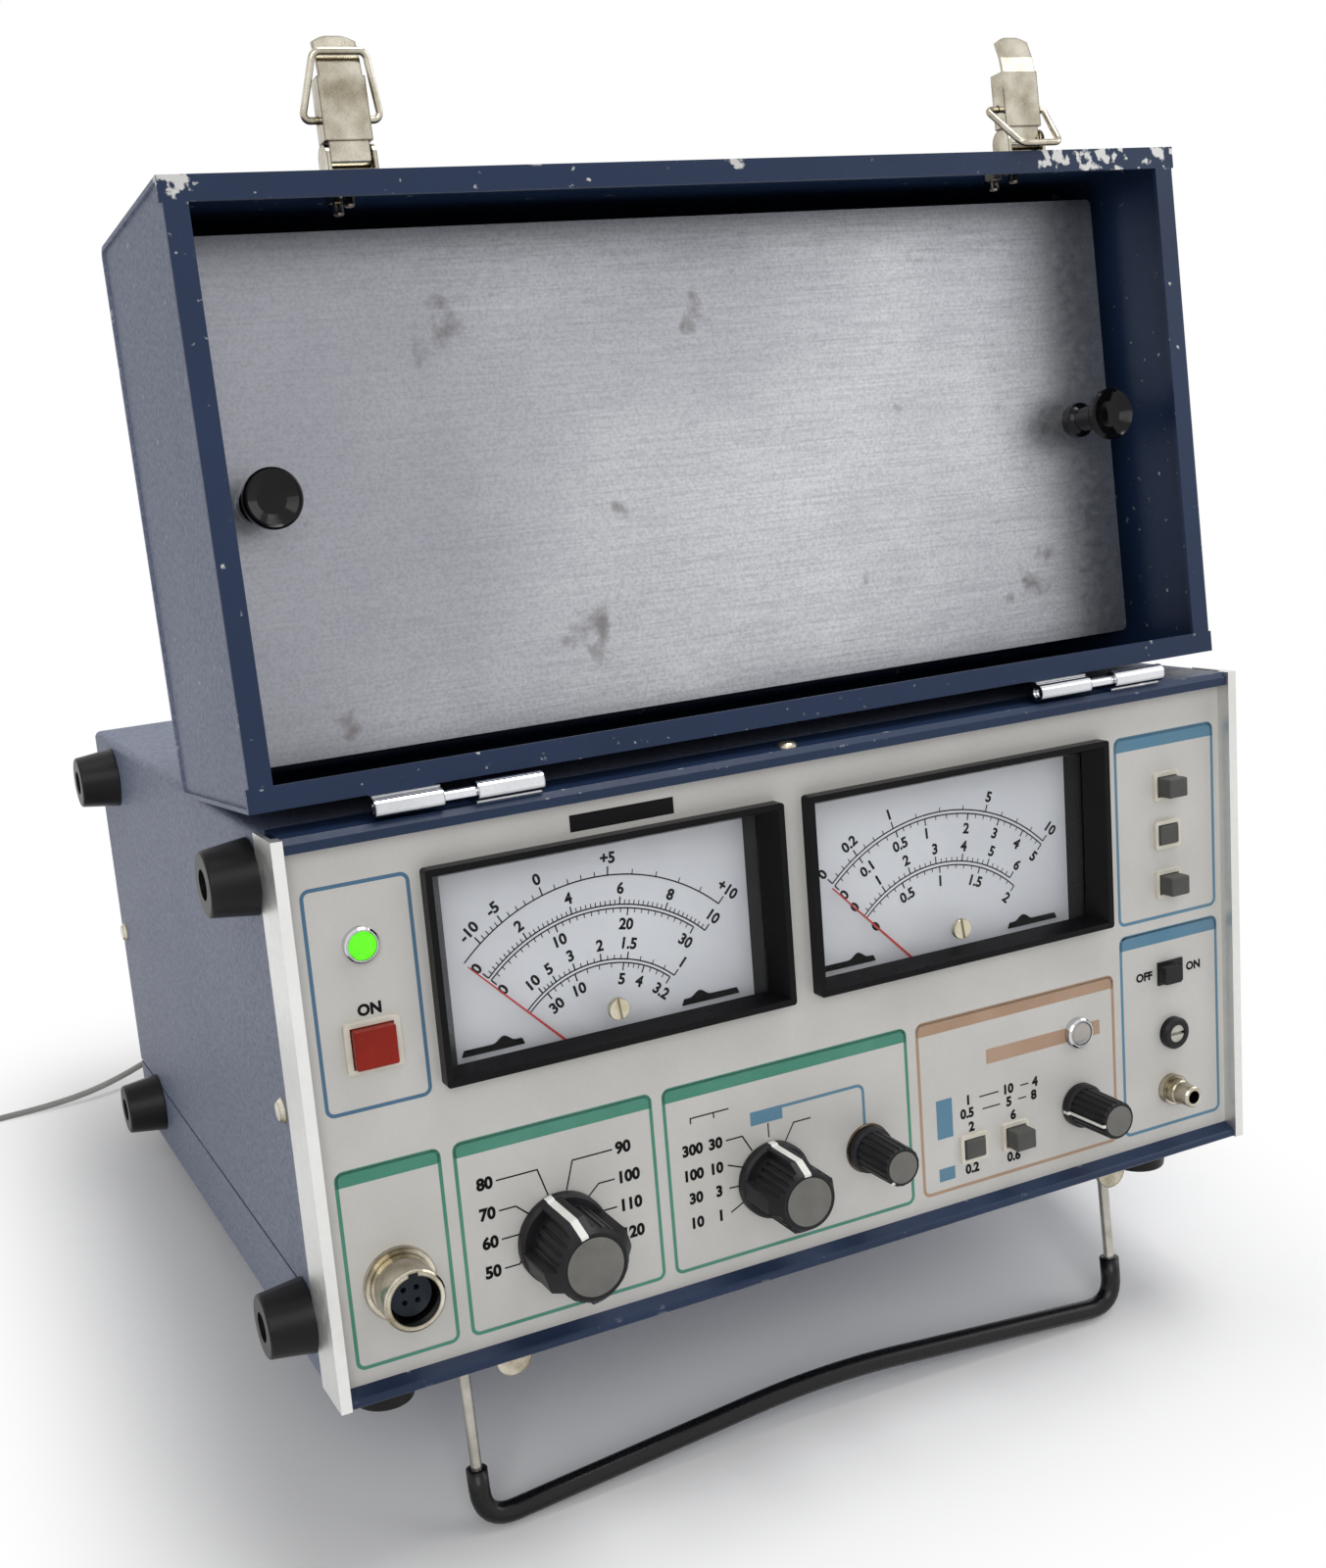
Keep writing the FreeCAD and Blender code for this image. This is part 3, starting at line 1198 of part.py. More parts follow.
def build_controls():
    add("lamp_bezels", [lamp_bezel(at) for at in LAMP_AT])
    add("lamp_lenses", [lamp_lens(at) for at in LAMP_AT])
    bezels = [push_bezel(POWER_AT, POWER_CAP, POWER_BEZEL, 1.6)]
    bezels += [push_bezel(at, cap, BUTTON_BEZEL, BEZEL_PROUD) for at, cap in button_places()[1:]]
    add("button_bezels", bezels)
    add("power_button", push_cap(POWER_AT, POWER_CAP, POWER_OUT, BUTTON_LENGTH))
    for name, z, pressed in zip(("top", "middle", "bottom"), FUNCTION_Z, FUNCTION_PRESSED):
        cap = push_cap((FUNCTION_X, z), BUTTON_CAP, button_out(pressed), BUTTON_LENGTH)
        add("function_button_" + name, cap)
    for name, x, pressed in zip(("left", "right"), OUTPUT_X, OUTPUT_PRESSED):
        add("output_button_" + name, push_cap((x, OUTPUT_Z), BUTTON_CAP, button_out(pressed), BUTTON_LENGTH))
    add("mic_socket_shell", mic_shell())
    add("mic_socket_insert", mic_insert())
    add("output_jack", output_jack())
    bodies = [rotary_body(at, SWITCH_D, SWITCH_LENGTH) for at in (LEVEL_AT, RANGE_AT)]
    bodies += [rotary_body(at, POT_D, POT_LENGTH) for at in (SET_AT, VARIABLE_AT)]
    add("panel_controls", bodies + [slide_frame(), trimmer_bush()])
    add("level_knob", wing_knob(LEVEL_AT, LEVEL_SIZE, LEVEL_ANGLE))
    add("range_knob", wing_knob(RANGE_AT, RANGE_SIZE, RANGE_ANGLE))
    add("set_knob", ribbed_knob(SET_AT, SMALL_KNOB, SET_ANGLE))
    add("output_knob", ribbed_knob(VARIABLE_AT, SMALL_KNOB, VARIABLE_ANGLE))
    add("slide_switch_knob", slide_tab())
    add("trimmer_shaft", trimmer_shaft())


def build_lid():
    add("lid_shell", on_lid([lid_shell()]))
    add("lid_ends", on_lid(pair(lid_end())))
    add("lid_plate", on_lid([lid_plate()]))
    add("lid_fasteners", on_lid(pair(lid_post())))
    knobs = on_lid(pair(thumb_knob()))
    add("thumb_knob_left", knobs[0])
    add("thumb_knob_right", knobs[1])
    hinge = lid_hinge()
    add("lid_hinge_leaves", on_lid([hinge, second_hinge(hinge)]))
    base = latch_base()
    lever = latch_lever()
    add("latch_bases", on_lid([base, latch_turn(base)]))
    add("latch_lever_left", on_lid([lever]))
    add("latch_lever_right", on_lid([latch_turn(lever)]))
    add("latch_bail_left", on_lid([latch_bail(BAIL_UP_TURN)]))
    add("latch_bail_right", on_lid([latch_turn(latch_bail(BAIL_DOWN_TURN))]))


def build_cord():
    """The gland turns with the case, and the rest already lies on the floor."""
    route = cord_route()
    radii = cord_radii(route)
    path = rounded_path(route, radii)
    cord = tube(path, CORD_D)
    coil_line = coil_path()
    section = math.pi * CORD_D ** 2 / 4
    print("cord radii", [round(radius, 1) for radius in radii])
    print("cord length", round(path.Length, 1), "by volume", round(cord.Volume / section, 1))
    coil = tube(coil_line, CORD_D)
    print("coil length", round(coil_line.Length, 1), "by volume", round(coil.Volume / section, 1))
    print("least gap between turns", round(least_gap(coil_line, CORD_D), 2))
    return {"mains_cord": [cord], "cord_coil": [coil], "mains_plug": mains_plug()}


def placed():
    """Every node on the floor, with the origin under the middle of the part without its cord."""
    parts = {}
    for name, solids in NODES.items():
        parts[name] = [solid.transformed(STANCE.toMatrix(), True) for solid in solids]
    every = Part.makeCompound([solid for solids in parts.values() for solid in solids])
    box = every.optimalBoundingBox(False)
    shift = V(-(box.XMin + box.XMax) / 2, -(box.YMin + box.YMax) / 2, 0)
    parts["cord_gland"] = [cord_gland().transformed(STANCE.toMatrix(), True)]
    parts.update(build_cord())
    for name, solids in parts.items():
        parts[name] = [solid.translated(shift) for solid in solids]
    return parts, shift


build_case()
build_meters()
build_controls()
build_lid()
PARTS, SHIFT = placed()
os.makedirs("parts", exist_ok=True)
for name, solids in PARTS.items():
    shape = solids[0] if len(solids) == 1 else Part.makeCompound(solids)
    shape.exportStep("parts/" + name + ".step")
print(len(PARTS), "nodes, origin shift", [round(value, 3) for value in SHIFT])
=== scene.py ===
# %% [markdown]
# # A portable audio bench set with two meters
# The real object is a small metal case that leans back on a wire stand, with
# its lid swung up over the top. The solids of the case, the knobs and the
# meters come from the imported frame, and this lesson dresses them: it prints
# the panel and the dials, lays the cord and gives every piece its finish.

# %% Load the frame
import bmesh
import bpy
import json
import math
import numpy as np
from mathutils import Matrix


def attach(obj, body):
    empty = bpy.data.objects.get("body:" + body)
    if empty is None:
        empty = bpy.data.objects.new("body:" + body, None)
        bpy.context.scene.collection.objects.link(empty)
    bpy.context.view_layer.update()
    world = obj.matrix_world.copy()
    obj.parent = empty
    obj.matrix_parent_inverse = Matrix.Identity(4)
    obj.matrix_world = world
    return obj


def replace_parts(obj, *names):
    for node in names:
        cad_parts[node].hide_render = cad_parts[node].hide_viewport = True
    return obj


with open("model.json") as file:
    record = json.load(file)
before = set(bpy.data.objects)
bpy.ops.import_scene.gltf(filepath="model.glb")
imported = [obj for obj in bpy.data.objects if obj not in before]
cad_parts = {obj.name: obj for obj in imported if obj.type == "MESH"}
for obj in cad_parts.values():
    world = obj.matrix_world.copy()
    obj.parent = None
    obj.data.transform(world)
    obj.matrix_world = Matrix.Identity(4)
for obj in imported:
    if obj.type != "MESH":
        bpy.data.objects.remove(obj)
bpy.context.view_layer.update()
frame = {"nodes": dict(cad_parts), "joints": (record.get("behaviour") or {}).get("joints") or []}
nodes = frame["nodes"]

# %% [markdown]
# The case is tilted, so its panel isn't upright in the world. A knob's axis
# is square to the panel, and a joint knows that axis and a point on it. Three
# axes and an origin from there let every later piece be drawn in plain panel
# millimetres: x to the right, y into the case, z up the panel. The lid has its
# own axes, found in the same way from one of its thumb knobs.

# %% Panel and lid axes
MM = 0.001
CASE_W = 300.0
LEVEL_X, LEVEL_Z = 66.1, 28.5
THUMB_POINT = (20.0, 20.0, 74.25)
joints = {j["name"]: j for j in frame["joints"]}


def axes_at(joint, point_mm):
    """Origin and the three axis rows of the local frame in which the joint sits at point_mm:
    y is the joint's axis, x the world's x, and z their cross product."""
    y = np.array(joint["axis"], float)
    x = np.array([1.0, 0.0, 0.0])
    rows = np.array([x, y, np.cross(x, y)])
    return np.array(joint["pos_m"]) - MM * np.array(point_mm) @ rows, rows


case_origin, case_rows = axes_at(joints["level_turn"], (LEVEL_X, 0.0, LEVEL_Z))
lid_origin, lid_rows = axes_at(joints["thumb_turn_left"], THUMB_POINT)


def on_case(points_mm):
    """Panel millimetres to world metres: origin + x X + y Y + z Z, for a whole array of points."""
    return case_origin + MM * np.asarray(points_mm, float) @ case_rows


def on_lid(points_mm):
    """Lid millimetres (x, depth from the rim, height from the hinge side) to world metres."""
    return lid_origin + MM * np.asarray(points_mm, float) @ lid_rows


def placed(name, data):
    """A new object of that data at the origin, linked to the scene."""
    made = bpy.data.objects.new(name, data)
    bpy.context.scene.collection.objects.link(made)
    return made


lean = math.asin(-case_rows[1][2])
print(f"panel leans back {math.degrees(lean):.2f} degrees")

# %% [markdown]
# The camera comes before the looks, so that every later choice can be held
# against the photograph. A position, three axes and a focal length were
# fitted to the panel's corners in panel millimetres. The lens looks past the
# middle of the picture, which the camera's shift takes up.

# %% Camera
IMAGE = (1353, 1600)
FOCAL_PX = 1781.86
CENTRE_PX = (545.79, 806.24)
SENSOR = 36.0
CAMERA_AT = (-97.45, -395.57, 233.96)
CAMERA_RIGHT, CAMERA_UP = (0.91079, -0.40229, -0.09289), (0.1613, 0.1396, 0.97698)
camera_data = bpy.data.cameras.new("bench_camera")
camera_data.sensor_width = SENSOR
camera_data.lens = SENSOR * FOCAL_PX / IMAGE[1]
camera_data.shift_x = (IMAGE[0] / 2 - CENTRE_PX[0]) / IMAGE[1]
camera_data.shift_y = (CENTRE_PX[1] - IMAGE[1] / 2) / IMAGE[1]
camera_data.clip_start = 0.01
camera = placed("bench_camera", camera_data)
pose = np.eye(4)
pose[:3, 0] = np.array(CAMERA_RIGHT) @ case_rows
pose[:3, 1] = np.array(CAMERA_UP) @ case_rows
pose[:3, 2] = np.cross(pose[:3, 0], pose[:3, 1])
pose[:3, 3] = on_case(CAMERA_AT)
camera.matrix_world = Matrix(pose.tolist())
bpy.context.scene.camera = camera
print("camera at", np.round(pose[:3, 3], 4), "lens", round(camera_data.lens, 2))

# %% [markdown]
# The mains lead is a thin grey cord. It leaves a gland low on the back wall,
# drops to the bench and runs off to the left, as the photograph shows. The
# rest isn't seen, so it is wound into a small coil behind the case with its
# plug beside it. One NURBS spline carries the whole lead: its control points
# are the route, and a loop adds the turns of the coil. The points' own radius
# sets the thickness, because Blender counts it in the curve's box.

# %% Cord route
CORD_D = 2.4
GLAND_SPOT = np.array([42.0, 260.04, 0.0])  # the gland's mouth in the route's own millimetres
STRAIGHT_OUT = 11.0
gland = np.array([v.co for v in nodes["cord_gland"].data.vertices])
depth = gland @ case_rows[1]
mouth = gland[depth > depth.max() - 1e-5]
cord_exit = (mouth.min(0) + mouth.max(0)) / 2
floor_origin = cord_exit - MM * GLAND_SPOT
floor_origin[2] = 0.0
exit_mm = (cord_exit - floor_origin) / MM
route = [exit_mm, exit_mm + STRAIGHT_OUT * case_rows[1], (36, 281, 16.6), (22, 282.5, 11.6),
         (5, 277.5, 7.0), (-13, 273.4, 3.6), (-31, 272.6, 1.7), (-48, 272.4, 1.2), (-63.2, 271.7, 1.2),
         (-77.2, 271.7, 1.2)]
print("cord leaves the gland at", np.round(cord_exit, 4))

# %% Coil turns
COIL_AT = np.array([-82.0, 251.2])
COIL_R = 20.5
COIL_PITCH = 2.9
HALF_TURNS = (6, 6, 6, 5)
STEPS = 12
turn_side = 1
radius = COIL_R
height = CORD_D / 2
share = np.arange(STEPS) / STEPS
for layer, count in enumerate(HALF_TURNS):
    inwards = COIL_PITCH / 2 * (-1 if layer % 2 == 0 else 1)
    changes = [(inwards, 0.0)] * count
    if layer > 0:
        changes[0] = (2 * inwards, 0.0)
    if layer < len(HALF_TURNS) - 1:
        changes[-1] = (2 * inwards, 0.0)
        changes.append((0.0, COIL_PITCH))
    for change, climb in changes:
        reach = turn_side * (radius + change * share)
        east = COIL_AT[0] - reach * np.sin(np.pi * share)
        north = COIL_AT[1] + reach * np.cos(np.pi * share)
        rise = height + climb * (3 * share ** 2 - 2 * share ** 3)
        route += list(np.column_stack([east, north, rise]))
        radius += change
        height += climb
        turn_side = -turn_side
top_y = COIL_AT[1] + turn_side * radius
route += [(-82, top_y, height), (-90, top_y, height), (-98, top_y, height),
          (-106, top_y - 0.8, height - 0.4), (-113, top_y - 4.6, height - 1.5),
          (-117, top_y - 11.5, 6.6), (-118, 251.0, 5.7), (-118, 246.4, 5.5), (-118, 244.0, 5.5)]
route = floor_origin + MM * np.array([np.asarray(p, float) for p in route])
print(len(route), "control points, coil ends at radius", round(radius, 2), "mm")

# %% Cord curve
cord_curve = bpy.data.curves.new("mains_lead", "CURVE")
cord_curve.dimensions = "3D"
spline = cord_curve.splines.new("NURBS")
spline.points.add(len(route) - 1)
spline.points.foreach_set("co", np.column_stack([route, np.ones(len(route))]).ravel())
spline.order_u = 3
spline.use_endpoint_u = True
spline.resolution_u = 3
spline.points.foreach_set("radius", np.full(len(route), MM * CORD_D / 2))
cord_curve.bevel_depth = 1.0
cord_curve.bevel_resolution = 3
cord_curve.use_fill_caps = True
mains_lead = placed("mains_lead", cord_curve)
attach(mains_lead, "case")
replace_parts(mains_lead, "mains_cord", "cord_coil")
polygon = np.linalg.norm(np.diff(route, axis=0), axis=1).sum()
print(f"control polygon {polygon:.3f} m long")

# %% [markdown]
# Paint, moulded plastic and plate all vary a little from place to place, and
# a flat colour is what makes a model look like one. Three effects recur here,
# so each is a shader group, built once: broad mottling with a fine speckle,
# the pebbled skin of the sprayed covers, and chips where paint wears off the
# edges. A group puts out colours, masks and heights, and the shader itself
# stays in each material.

# %% Helpers for shader nodes
def srgb(red, green, blue):
    """Screen colour 0..255 to linear: the usual curve, a power of 2.4 above its toe."""
    c = np.array([red, green, blue]) / 255.0
    linear = np.where(c <= 0.04045, c / 12.92, ((c + 0.055) / 1.055) ** 2.4)
    return (*linear.tolist(), 1.0)


def feed(tree, target, *links):
    """Gives each (socket, source) of a node: a link from another socket, or else a value."""
    for socket, source in links:
        if isinstance(source, bpy.types.NodeSocket):
            tree.links.new(source, target.inputs[socket])
        else:
            target.inputs[socket].default_value = source


def node(tree, kind, *links, **values):
    """A node of that kind, with its settings as keywords and its inputs as (socket, source) pairs."""
    made = tree.nodes.new(kind)
    for key, value in values.items():
        setattr(made, key, value)
    feed(tree, made, *links)
    return made


def maths(tree, operation, first, second=0.0, third=0.0, clamp=False):
    """The output of one Math node."""
    links = (0, first), (1, second), (2, third)
    return node(tree, "ShaderNodeMath", *links, operation=operation, use_clamp=clamp).outputs[0]


def vectors(tree, operation, first, second=(0, 0, 0)):
    """The outputs of one Vector Math node."""
    return node(tree, "ShaderNodeVectorMath", (0, first), (1, second), operation=operation).outputs


def spread(tree, value, low, high, to_low=0.0, to_high=1.0, curve="LINEAR"):
    """A Map Range node: low..high becomes to_low..to_high, held at the ends."""
    links = (0, value), (1, low), (2, high), (3, to_low), (4, to_high)
    return node(tree, "ShaderNodeMapRange", *links, interpolation_type=curve).outputs[0]


def blend(tree, share, first, second):
    """A colour Mix node: first where share is 0, second where it is 1."""
    return node(tree, "ShaderNodeMix", (0, share), (6, first), (7, second), data_type="RGBA").outputs[2]


def spot(tree, kind="Object"):
    """Texture coordinates of that kind."""
    return node(tree, "ShaderNodeTexCoord").outputs[kind]


def split(tree, vector):
    """The x, y and z of a vector."""
    return node(tree, "ShaderNodeSeparateXYZ", (0, vector)).outputs


def mapped(tree, **values):
    """Object coordinates through a Mapping node."""
    return node(tree, "ShaderNodeMapping", ("Vector", spot(tree)), *values.items()).outputs[0]


def noise(tree, scale, detail=3.0, vector=None):
    """A Noise Texture on Object coordinates, or on the vector given."""
    vector = spot(tree) if vector is None else vector
    links = ("Vector", vector), ("Scale", scale), ("Detail", detail)
    return node(tree, "ShaderNodeTexNoise", *links).outputs["Fac"]


def bump(tree, height, strength, distance):
    """A Bump node's normal; distance is the relief in metres."""
    links = ("Height", height), ("Strength", strength), ("Distance", distance)
    return node(tree, "ShaderNodeBump", *links).outputs["Normal"]


print("shader helpers ready")

# %% Mottling group
def new_group(name, inputs, outputs):
    """An empty shader group with the sockets named, its inputs and its output node. Every material that
    uses the group sets all its inputs."""
    tree = bpy.data.node_groups.new(name, "ShaderNodeTree")
    for way, labels in (("INPUT", inputs), ("OUTPUT", outputs)):
        for label in labels.split():
            kind = "NodeSocketColor" if label in ("Colour", "Second") else "NodeSocketFloat"
            tree.interface.new_socket(label, in_out=way, socket_type=kind)
    return tree, tree.nodes.new("NodeGroupInput").outputs, tree.nodes.new("NodeGroupOutput")


mottle, given, outs = new_group("mottled_finish", "Colour Second Scale Roughness Spread",
                                "Colour Roughness Height")
broad = noise(mottle, given["Scale"], 4.0)
fine = noise(mottle, maths(mottle, "MULTIPLY", given["Scale"], 24.0), 2.0)
patches = spread(mottle, maths(mottle, "MULTIPLY_ADD", fine, 0.25, broad), 0.45, 0.85)
swing = maths(mottle, "SUBTRACT", maths(mottle, "MULTIPLY_ADD", broad, 0.6, fine), 0.8)
rough = maths(mottle, "MULTIPLY_ADD", swing, given["Spread"], given["Roughness"], clamp=True)
feed(mottle, outs, ("Colour", blend(mottle, patches, given["Colour"], given["Second"])),
     ("Roughness", rough), ("Height", fine))
print("mottling group has", len(mottle.nodes), "nodes")

# %% Pebbled skin group
pebble, given, outs = new_group("pebbled_skin", "Scale", "Height Mask")
cells = node(pebble, "ShaderNodeTexVoronoi", ("Vector", spot(pebble)), ("Scale", given["Scale"]),
             feature="SMOOTH_F1").outputs["Distance"]
worm = noise(pebble, maths(pebble, "MULTIPLY", given["Scale"], 0.55), 3.0)
grains = maths(pebble, "SUBTRACT", maths(pebble, "MULTIPLY", worm, 1.4), cells)
feed(pebble, outs, ("Height", grains), ("Mask", spread(pebble, grains, 0.0, 0.5)))
print("pebble group has", len(pebble.nodes), "nodes")

# %% Chipped edge group
chips, given, outs = new_group("chipped_edges", "Radius Scale Amount", "Mask")
rounded = node(chips, "ShaderNodeBevel", ("Radius", given["Radius"]), samples=6).outputs[0]
true_normal = node(chips, "ShaderNodeNewGeometry").outputs["Normal"]
edge = spread(chips, vectors(chips, "DOT_PRODUCT", rounded, true_normal)["Value"], 0.99, 0.8)
limit = spread(chips, given["Amount"], 0.0, 1.0, 0.75, 0.35)
worn = spread(chips, maths(chips, "SUBTRACT", noise(chips, given["Scale"], 5.0), limit), 0.0, 0.03)
feed(chips, outs, ("Mask", maths(chips, "MULTIPLY", edge, worn)))
print("chip group has", len(chips.nodes), "nodes")

# %% [markdown]
# Each finish is one Principled shader fed by those groups. Painted sheet,
# moulded plastic, plate and rubber differ mainly in roughness, metal and
# bump, so one maker function sets them up. The plain ones are a table of two
# colours, a scale, a roughness and whatever else sets them apart, with the
# nodes they go on.

# %% Makers of finishes
def group_in(tree, group, **values):
    """The outputs of the group as a node of this material, with its inputs set."""
    return node(tree, "ShaderNodeGroup", *values.items(), node_tree=group).outputs


def new_material(name):
    """A material with its tree and its Principled shader."""
    material = bpy.data.materials.new(name)
    material.use_nodes = True
    return material, material.node_tree, material.node_tree.nodes["Principled BSDF"]


def finish(name, colour, second, scale, rough, swing=0.12, metal=0.0, relief=0.00002, shine=0.5):
    """A mottled material and its parts, for further work: (material, tree, shader, mottle outputs)."""
    material, tree, shader = new_material(name)
    varied = group_in(tree, mottle, Colour=srgb(*colour), Second=srgb(*second), Scale=scale, Roughness=rough,
                      Spread=swing)
    feed(tree, shader, ("Metallic", metal), ("Specular IOR Level", shine), ("Base Color", varied["Colour"]),
         ("Roughness", varied["Roughness"]), ("Normal", bump(tree, varied["Height"], 0.3, relief)))
    return material, tree, shader, varied


def dress(material, *names):
    """Puts the material in every slot of the named CAD nodes."""
    for name in names:
        slots = nodes[name].data.materials
        slots.clear()
        slots.append(material)
    print(material.name, "on", ", ".join(names) or "pieces of this lesson")


print("makers ready")

# %% Plain finishes
PLAIN = (
    ("panel_paint", (205, 203, 199), (196, 194, 189), 35, 0.42, {}, "front_panel"),
    ("meter_black", (12, 12, 14), (18, 18, 20), 60, 0.3, {"shine": 0.1}, "meter_frames meter_movements"),
    ("knob_black", (24, 24, 26), (36, 36, 39), 90, 0.4, {"shine": 0.2},
     "level_knob range_knob set_knob output_knob slide_switch_knob panel_controls"),
    ("trimmer_white", (206, 204, 196), (178, 175, 166), 150, 0.4, {}, "trimmer_shaft"),
    ("thumb_black", (8, 8, 9), (16, 16, 18), 80, 0.14, {"relief": 0.00001, "shine": 0.2},
     "thumb_knob_left thumb_knob_right"),
    ("foot_rubber", (9, 9, 10), (27, 26, 27), 75, 0.36, {"relief": 0.00006, "shine": 0.2},
     "rubber_feet cord_gland"),
    ("stand_sleeve_black", (9, 9, 10), (18, 18, 20), 50, 0.28, {"shine": 0.3}, "stand_sleeve"),
    ("strap_vinyl", (22, 22, 25), (38, 38, 40), 70, 0.5, {"relief": 0.00012, "shine": 0.3}, "handle_strap"),
    ("ivory_moulding", (222, 218, 206), (208, 202, 186), 80, 0.4, {}, "button_bezels"),
    ("red_button", (146, 32, 16), (122, 24, 10), 70, 0.28, {"shine": 0.2}, "power_button"),
    ("grey_button", (82, 82, 79), (69, 69, 67), 90, 0.42, {"shine": 0.25},
     "function_button_top function_button_middle function_button_bottom output_button_left "
     "output_button_right"),
    ("socket_insert", (30, 38, 50), (20, 26, 34), 120, 0.4, {"shine": 0.2}, "mic_socket_insert"),
    ("needle_red", (190, 36, 26), (160, 28, 20), 200, 0.4, {}, "meter_pointer_left meter_pointer_right"),
    ("dial_white", (208, 208, 214), (200, 200, 207), 30, 0.5, {}, "meter_scales"),
    # Painted shade: the chassis is given a dark grey so that the seams between the covers show dark.
    ("black_sheet", (36, 37, 42), (52, 53, 58), 45, 0.5, {}, "chassis"),
    ("board_green", (70, 112, 74), (52, 92, 58), 120, 0.4, {}, "main_board"),
    ("laminated_core", (70, 70, 74), (48, 46, 48), 160, 0.5, {"metal": 0.6}, "power_transformer"),
    ("cord_grey", (150, 150, 146), (128, 127, 122), 60, 0.48, {}, ""),
    ("plug_grey", (128, 127, 122), (104, 103, 100), 90, 0.42, {"relief": 0.00004}, "mains_plug"),
    ("stand_wire", (186, 182, 174), (150, 146, 138), 120, 0.26, {"swing": 0.2, "metal": 1.0},
     "stand_bail stand_brackets"),
    ("knob_cap_grey", (114, 113, 108), (101, 100, 96), 150, 0.4, {"shine": 0.3}, ""),
    ("pointer_white", (238, 238, 234), (222, 221, 214), 120, 0.45, {}, ""),
    ("bronze_nut", (112, 96, 78), (78, 66, 54), 150, 0.35, {"swing": 0.15, "metal": 1.0}, ""),
)
plain = {}
for name, colour, second, scale, rough, more, names in PLAIN:
    plain[name] = finish(name, colour, second, scale, rough, **more)[0]
    dress(plain[name], *names.split())
mains_lead.data.materials.append(plain["cord_grey"])

# %% [markdown]
# The bright parts are not all one metal. The latches and screws have a warm,
# slightly tarnished nickel, the hinge leaves a hard bright chrome, and the
# side trims a satin aluminium drawn along its length. Long thin noise,
# stretched along the drawing direction, gives the drawn look.

# %% Plated metals
def plated(name, colour, second, scale, rough, dark, seam):
    """Bright plate, darker along its edges for seam metres, and with painted shade on the faces that look
    down.
    """
    material, tree, shader, varied = finish(name, colour, second, scale, rough, 0.15, 1.0)
    edges = group_in(tree, chips, Radius=seam, Scale=40.0, Amount=1.0)["Mask"]
    # Painted shade: faces that look down are darkened, as if they reflected the dark beneath them.
    under = spread(tree, split(tree, spot(tree, "Normal"))["Z"], -0.05, -0.6, 0.0, 0.85)
    dark_edges_and_painted_shade = maths(tree, "MAXIMUM", edges, under)
    feed(tree, shader, ("Base Color", blend(tree, dark_edges_and_painted_shade, varied["Colour"], srgb(*dark))))
    return material


nickel = plated("worn_nickel", (218, 212, 197), (136, 126, 104), 110, 0.14, (78, 68, 52), 0.0009)
dress(nickel, "latch_bases", "latch_lever_left", "latch_lever_right", "latch_bail_left",
      "latch_bail_right", "latch_keepers", "case_screws", "mic_socket_shell", "output_jack",
      "lid_fasteners")
chrome = plated("bright_chrome", (226, 227, 230), (200, 202, 206), 40, 0.09, (58, 58, 62), 0.0008)
dress(chrome, "case_hinge_leaves", "lid_hinge_leaves", "lamp_bezels", "handle_caps")
screw_plate = plated("zero_screw", (216, 210, 192), (188, 178, 152), 200, 0.3, (88, 76, 54), 0.00035)

# %% Drawn aluminium
def drawn_metal(name, colour, second, stretch, turn, rough):
    """A mottled metal with long thin streaks: noise on coordinates squeezed along the drawing way."""
    material, tree, shader, varied = finish(name, colour, second, 16, rough, 0.2, 1.0)
    streaks = noise(tree, 1500.0, 3.0, mapped(tree, Rotation=turn, Scale=stretch))
    rougher = maths(tree, "MULTIPLY_ADD", streaks, 0.16, varied["Roughness"], clamp=True)
    feed(tree, shader, ("Roughness", rougher), ("Normal", bump(tree, streaks, 0.25, 0.00002)))
    return material, tree, shader, varied["Colour"], streaks


trim, tree, shader, colour, streaks = drawn_metal(
    "trim_aluminium", (230, 230, 228), (212, 211, 208), (1.0, 1.0, 0.02), (lean, 0, 0), 0.34)
across, facing = (split(tree, spot(tree, kind))["X"] for kind in ("Object", "Normal"))
# Painted shade: the inner face of the left trim, which faces +x, is darkened to a brown-grey.
painted_inner_shade = spread(tree, maths(tree, "MULTIPLY", across, facing), -0.05, -0.1, 0.0, 0.8)
painted_inner_shade = maths(tree, "MULTIPLY", painted_inner_shade, maths(tree, "GREATER_THAN", facing, 0.0))
feed(tree, shader, ("Base Color", blend(tree, painted_inner_shade, colour, srgb(96, 86, 76))))
dress(trim, "panel_trims")

# %% [markdown]
# The aluminium plate in the lid takes up most of the upper half of the
# picture. It has a fine horizontal brushing, grey cloudy tarnish, and a few
# darker stains and scratches. The stains have places, and noise makes their
# outlines ragged. The scratches are noise cut off at a level, so that they
# stay small and scattered.

# %% Lid plate
STAINS = ((76, 111, 15), (108, 30, 13), (150, 114, 8), (257, 28, 15), (38, 15, 9), (120, 64, 6),
          (214, 84, 6))  # lid x and height, and radius
PLATE_FACE = 28.0
RAGGED_CUT = 0.68


def worn_round(tree, spots, scale, soft):
    """A ragged mask round each (x, y, z, radius) in metres: noise lifted by nearness, cut off over
    a soft step."""
    place = spot(tree)
    ragged = noise(tree, scale, 6.0)
    worn = 0.0
    for *centre, radius in spots:
        away = vectors(tree, "DISTANCE", place, tuple(centre))["Value"]
        near = spread(tree, away, 0.1 * radius, radius, 0.3, 0.0)
        cut = spread(tree, maths(tree, "ADD", ragged, near), RAGGED_CUT, RAGGED_CUT + soft)
        worn = maths(tree, "MAXIMUM", worn, cut)
    return worn


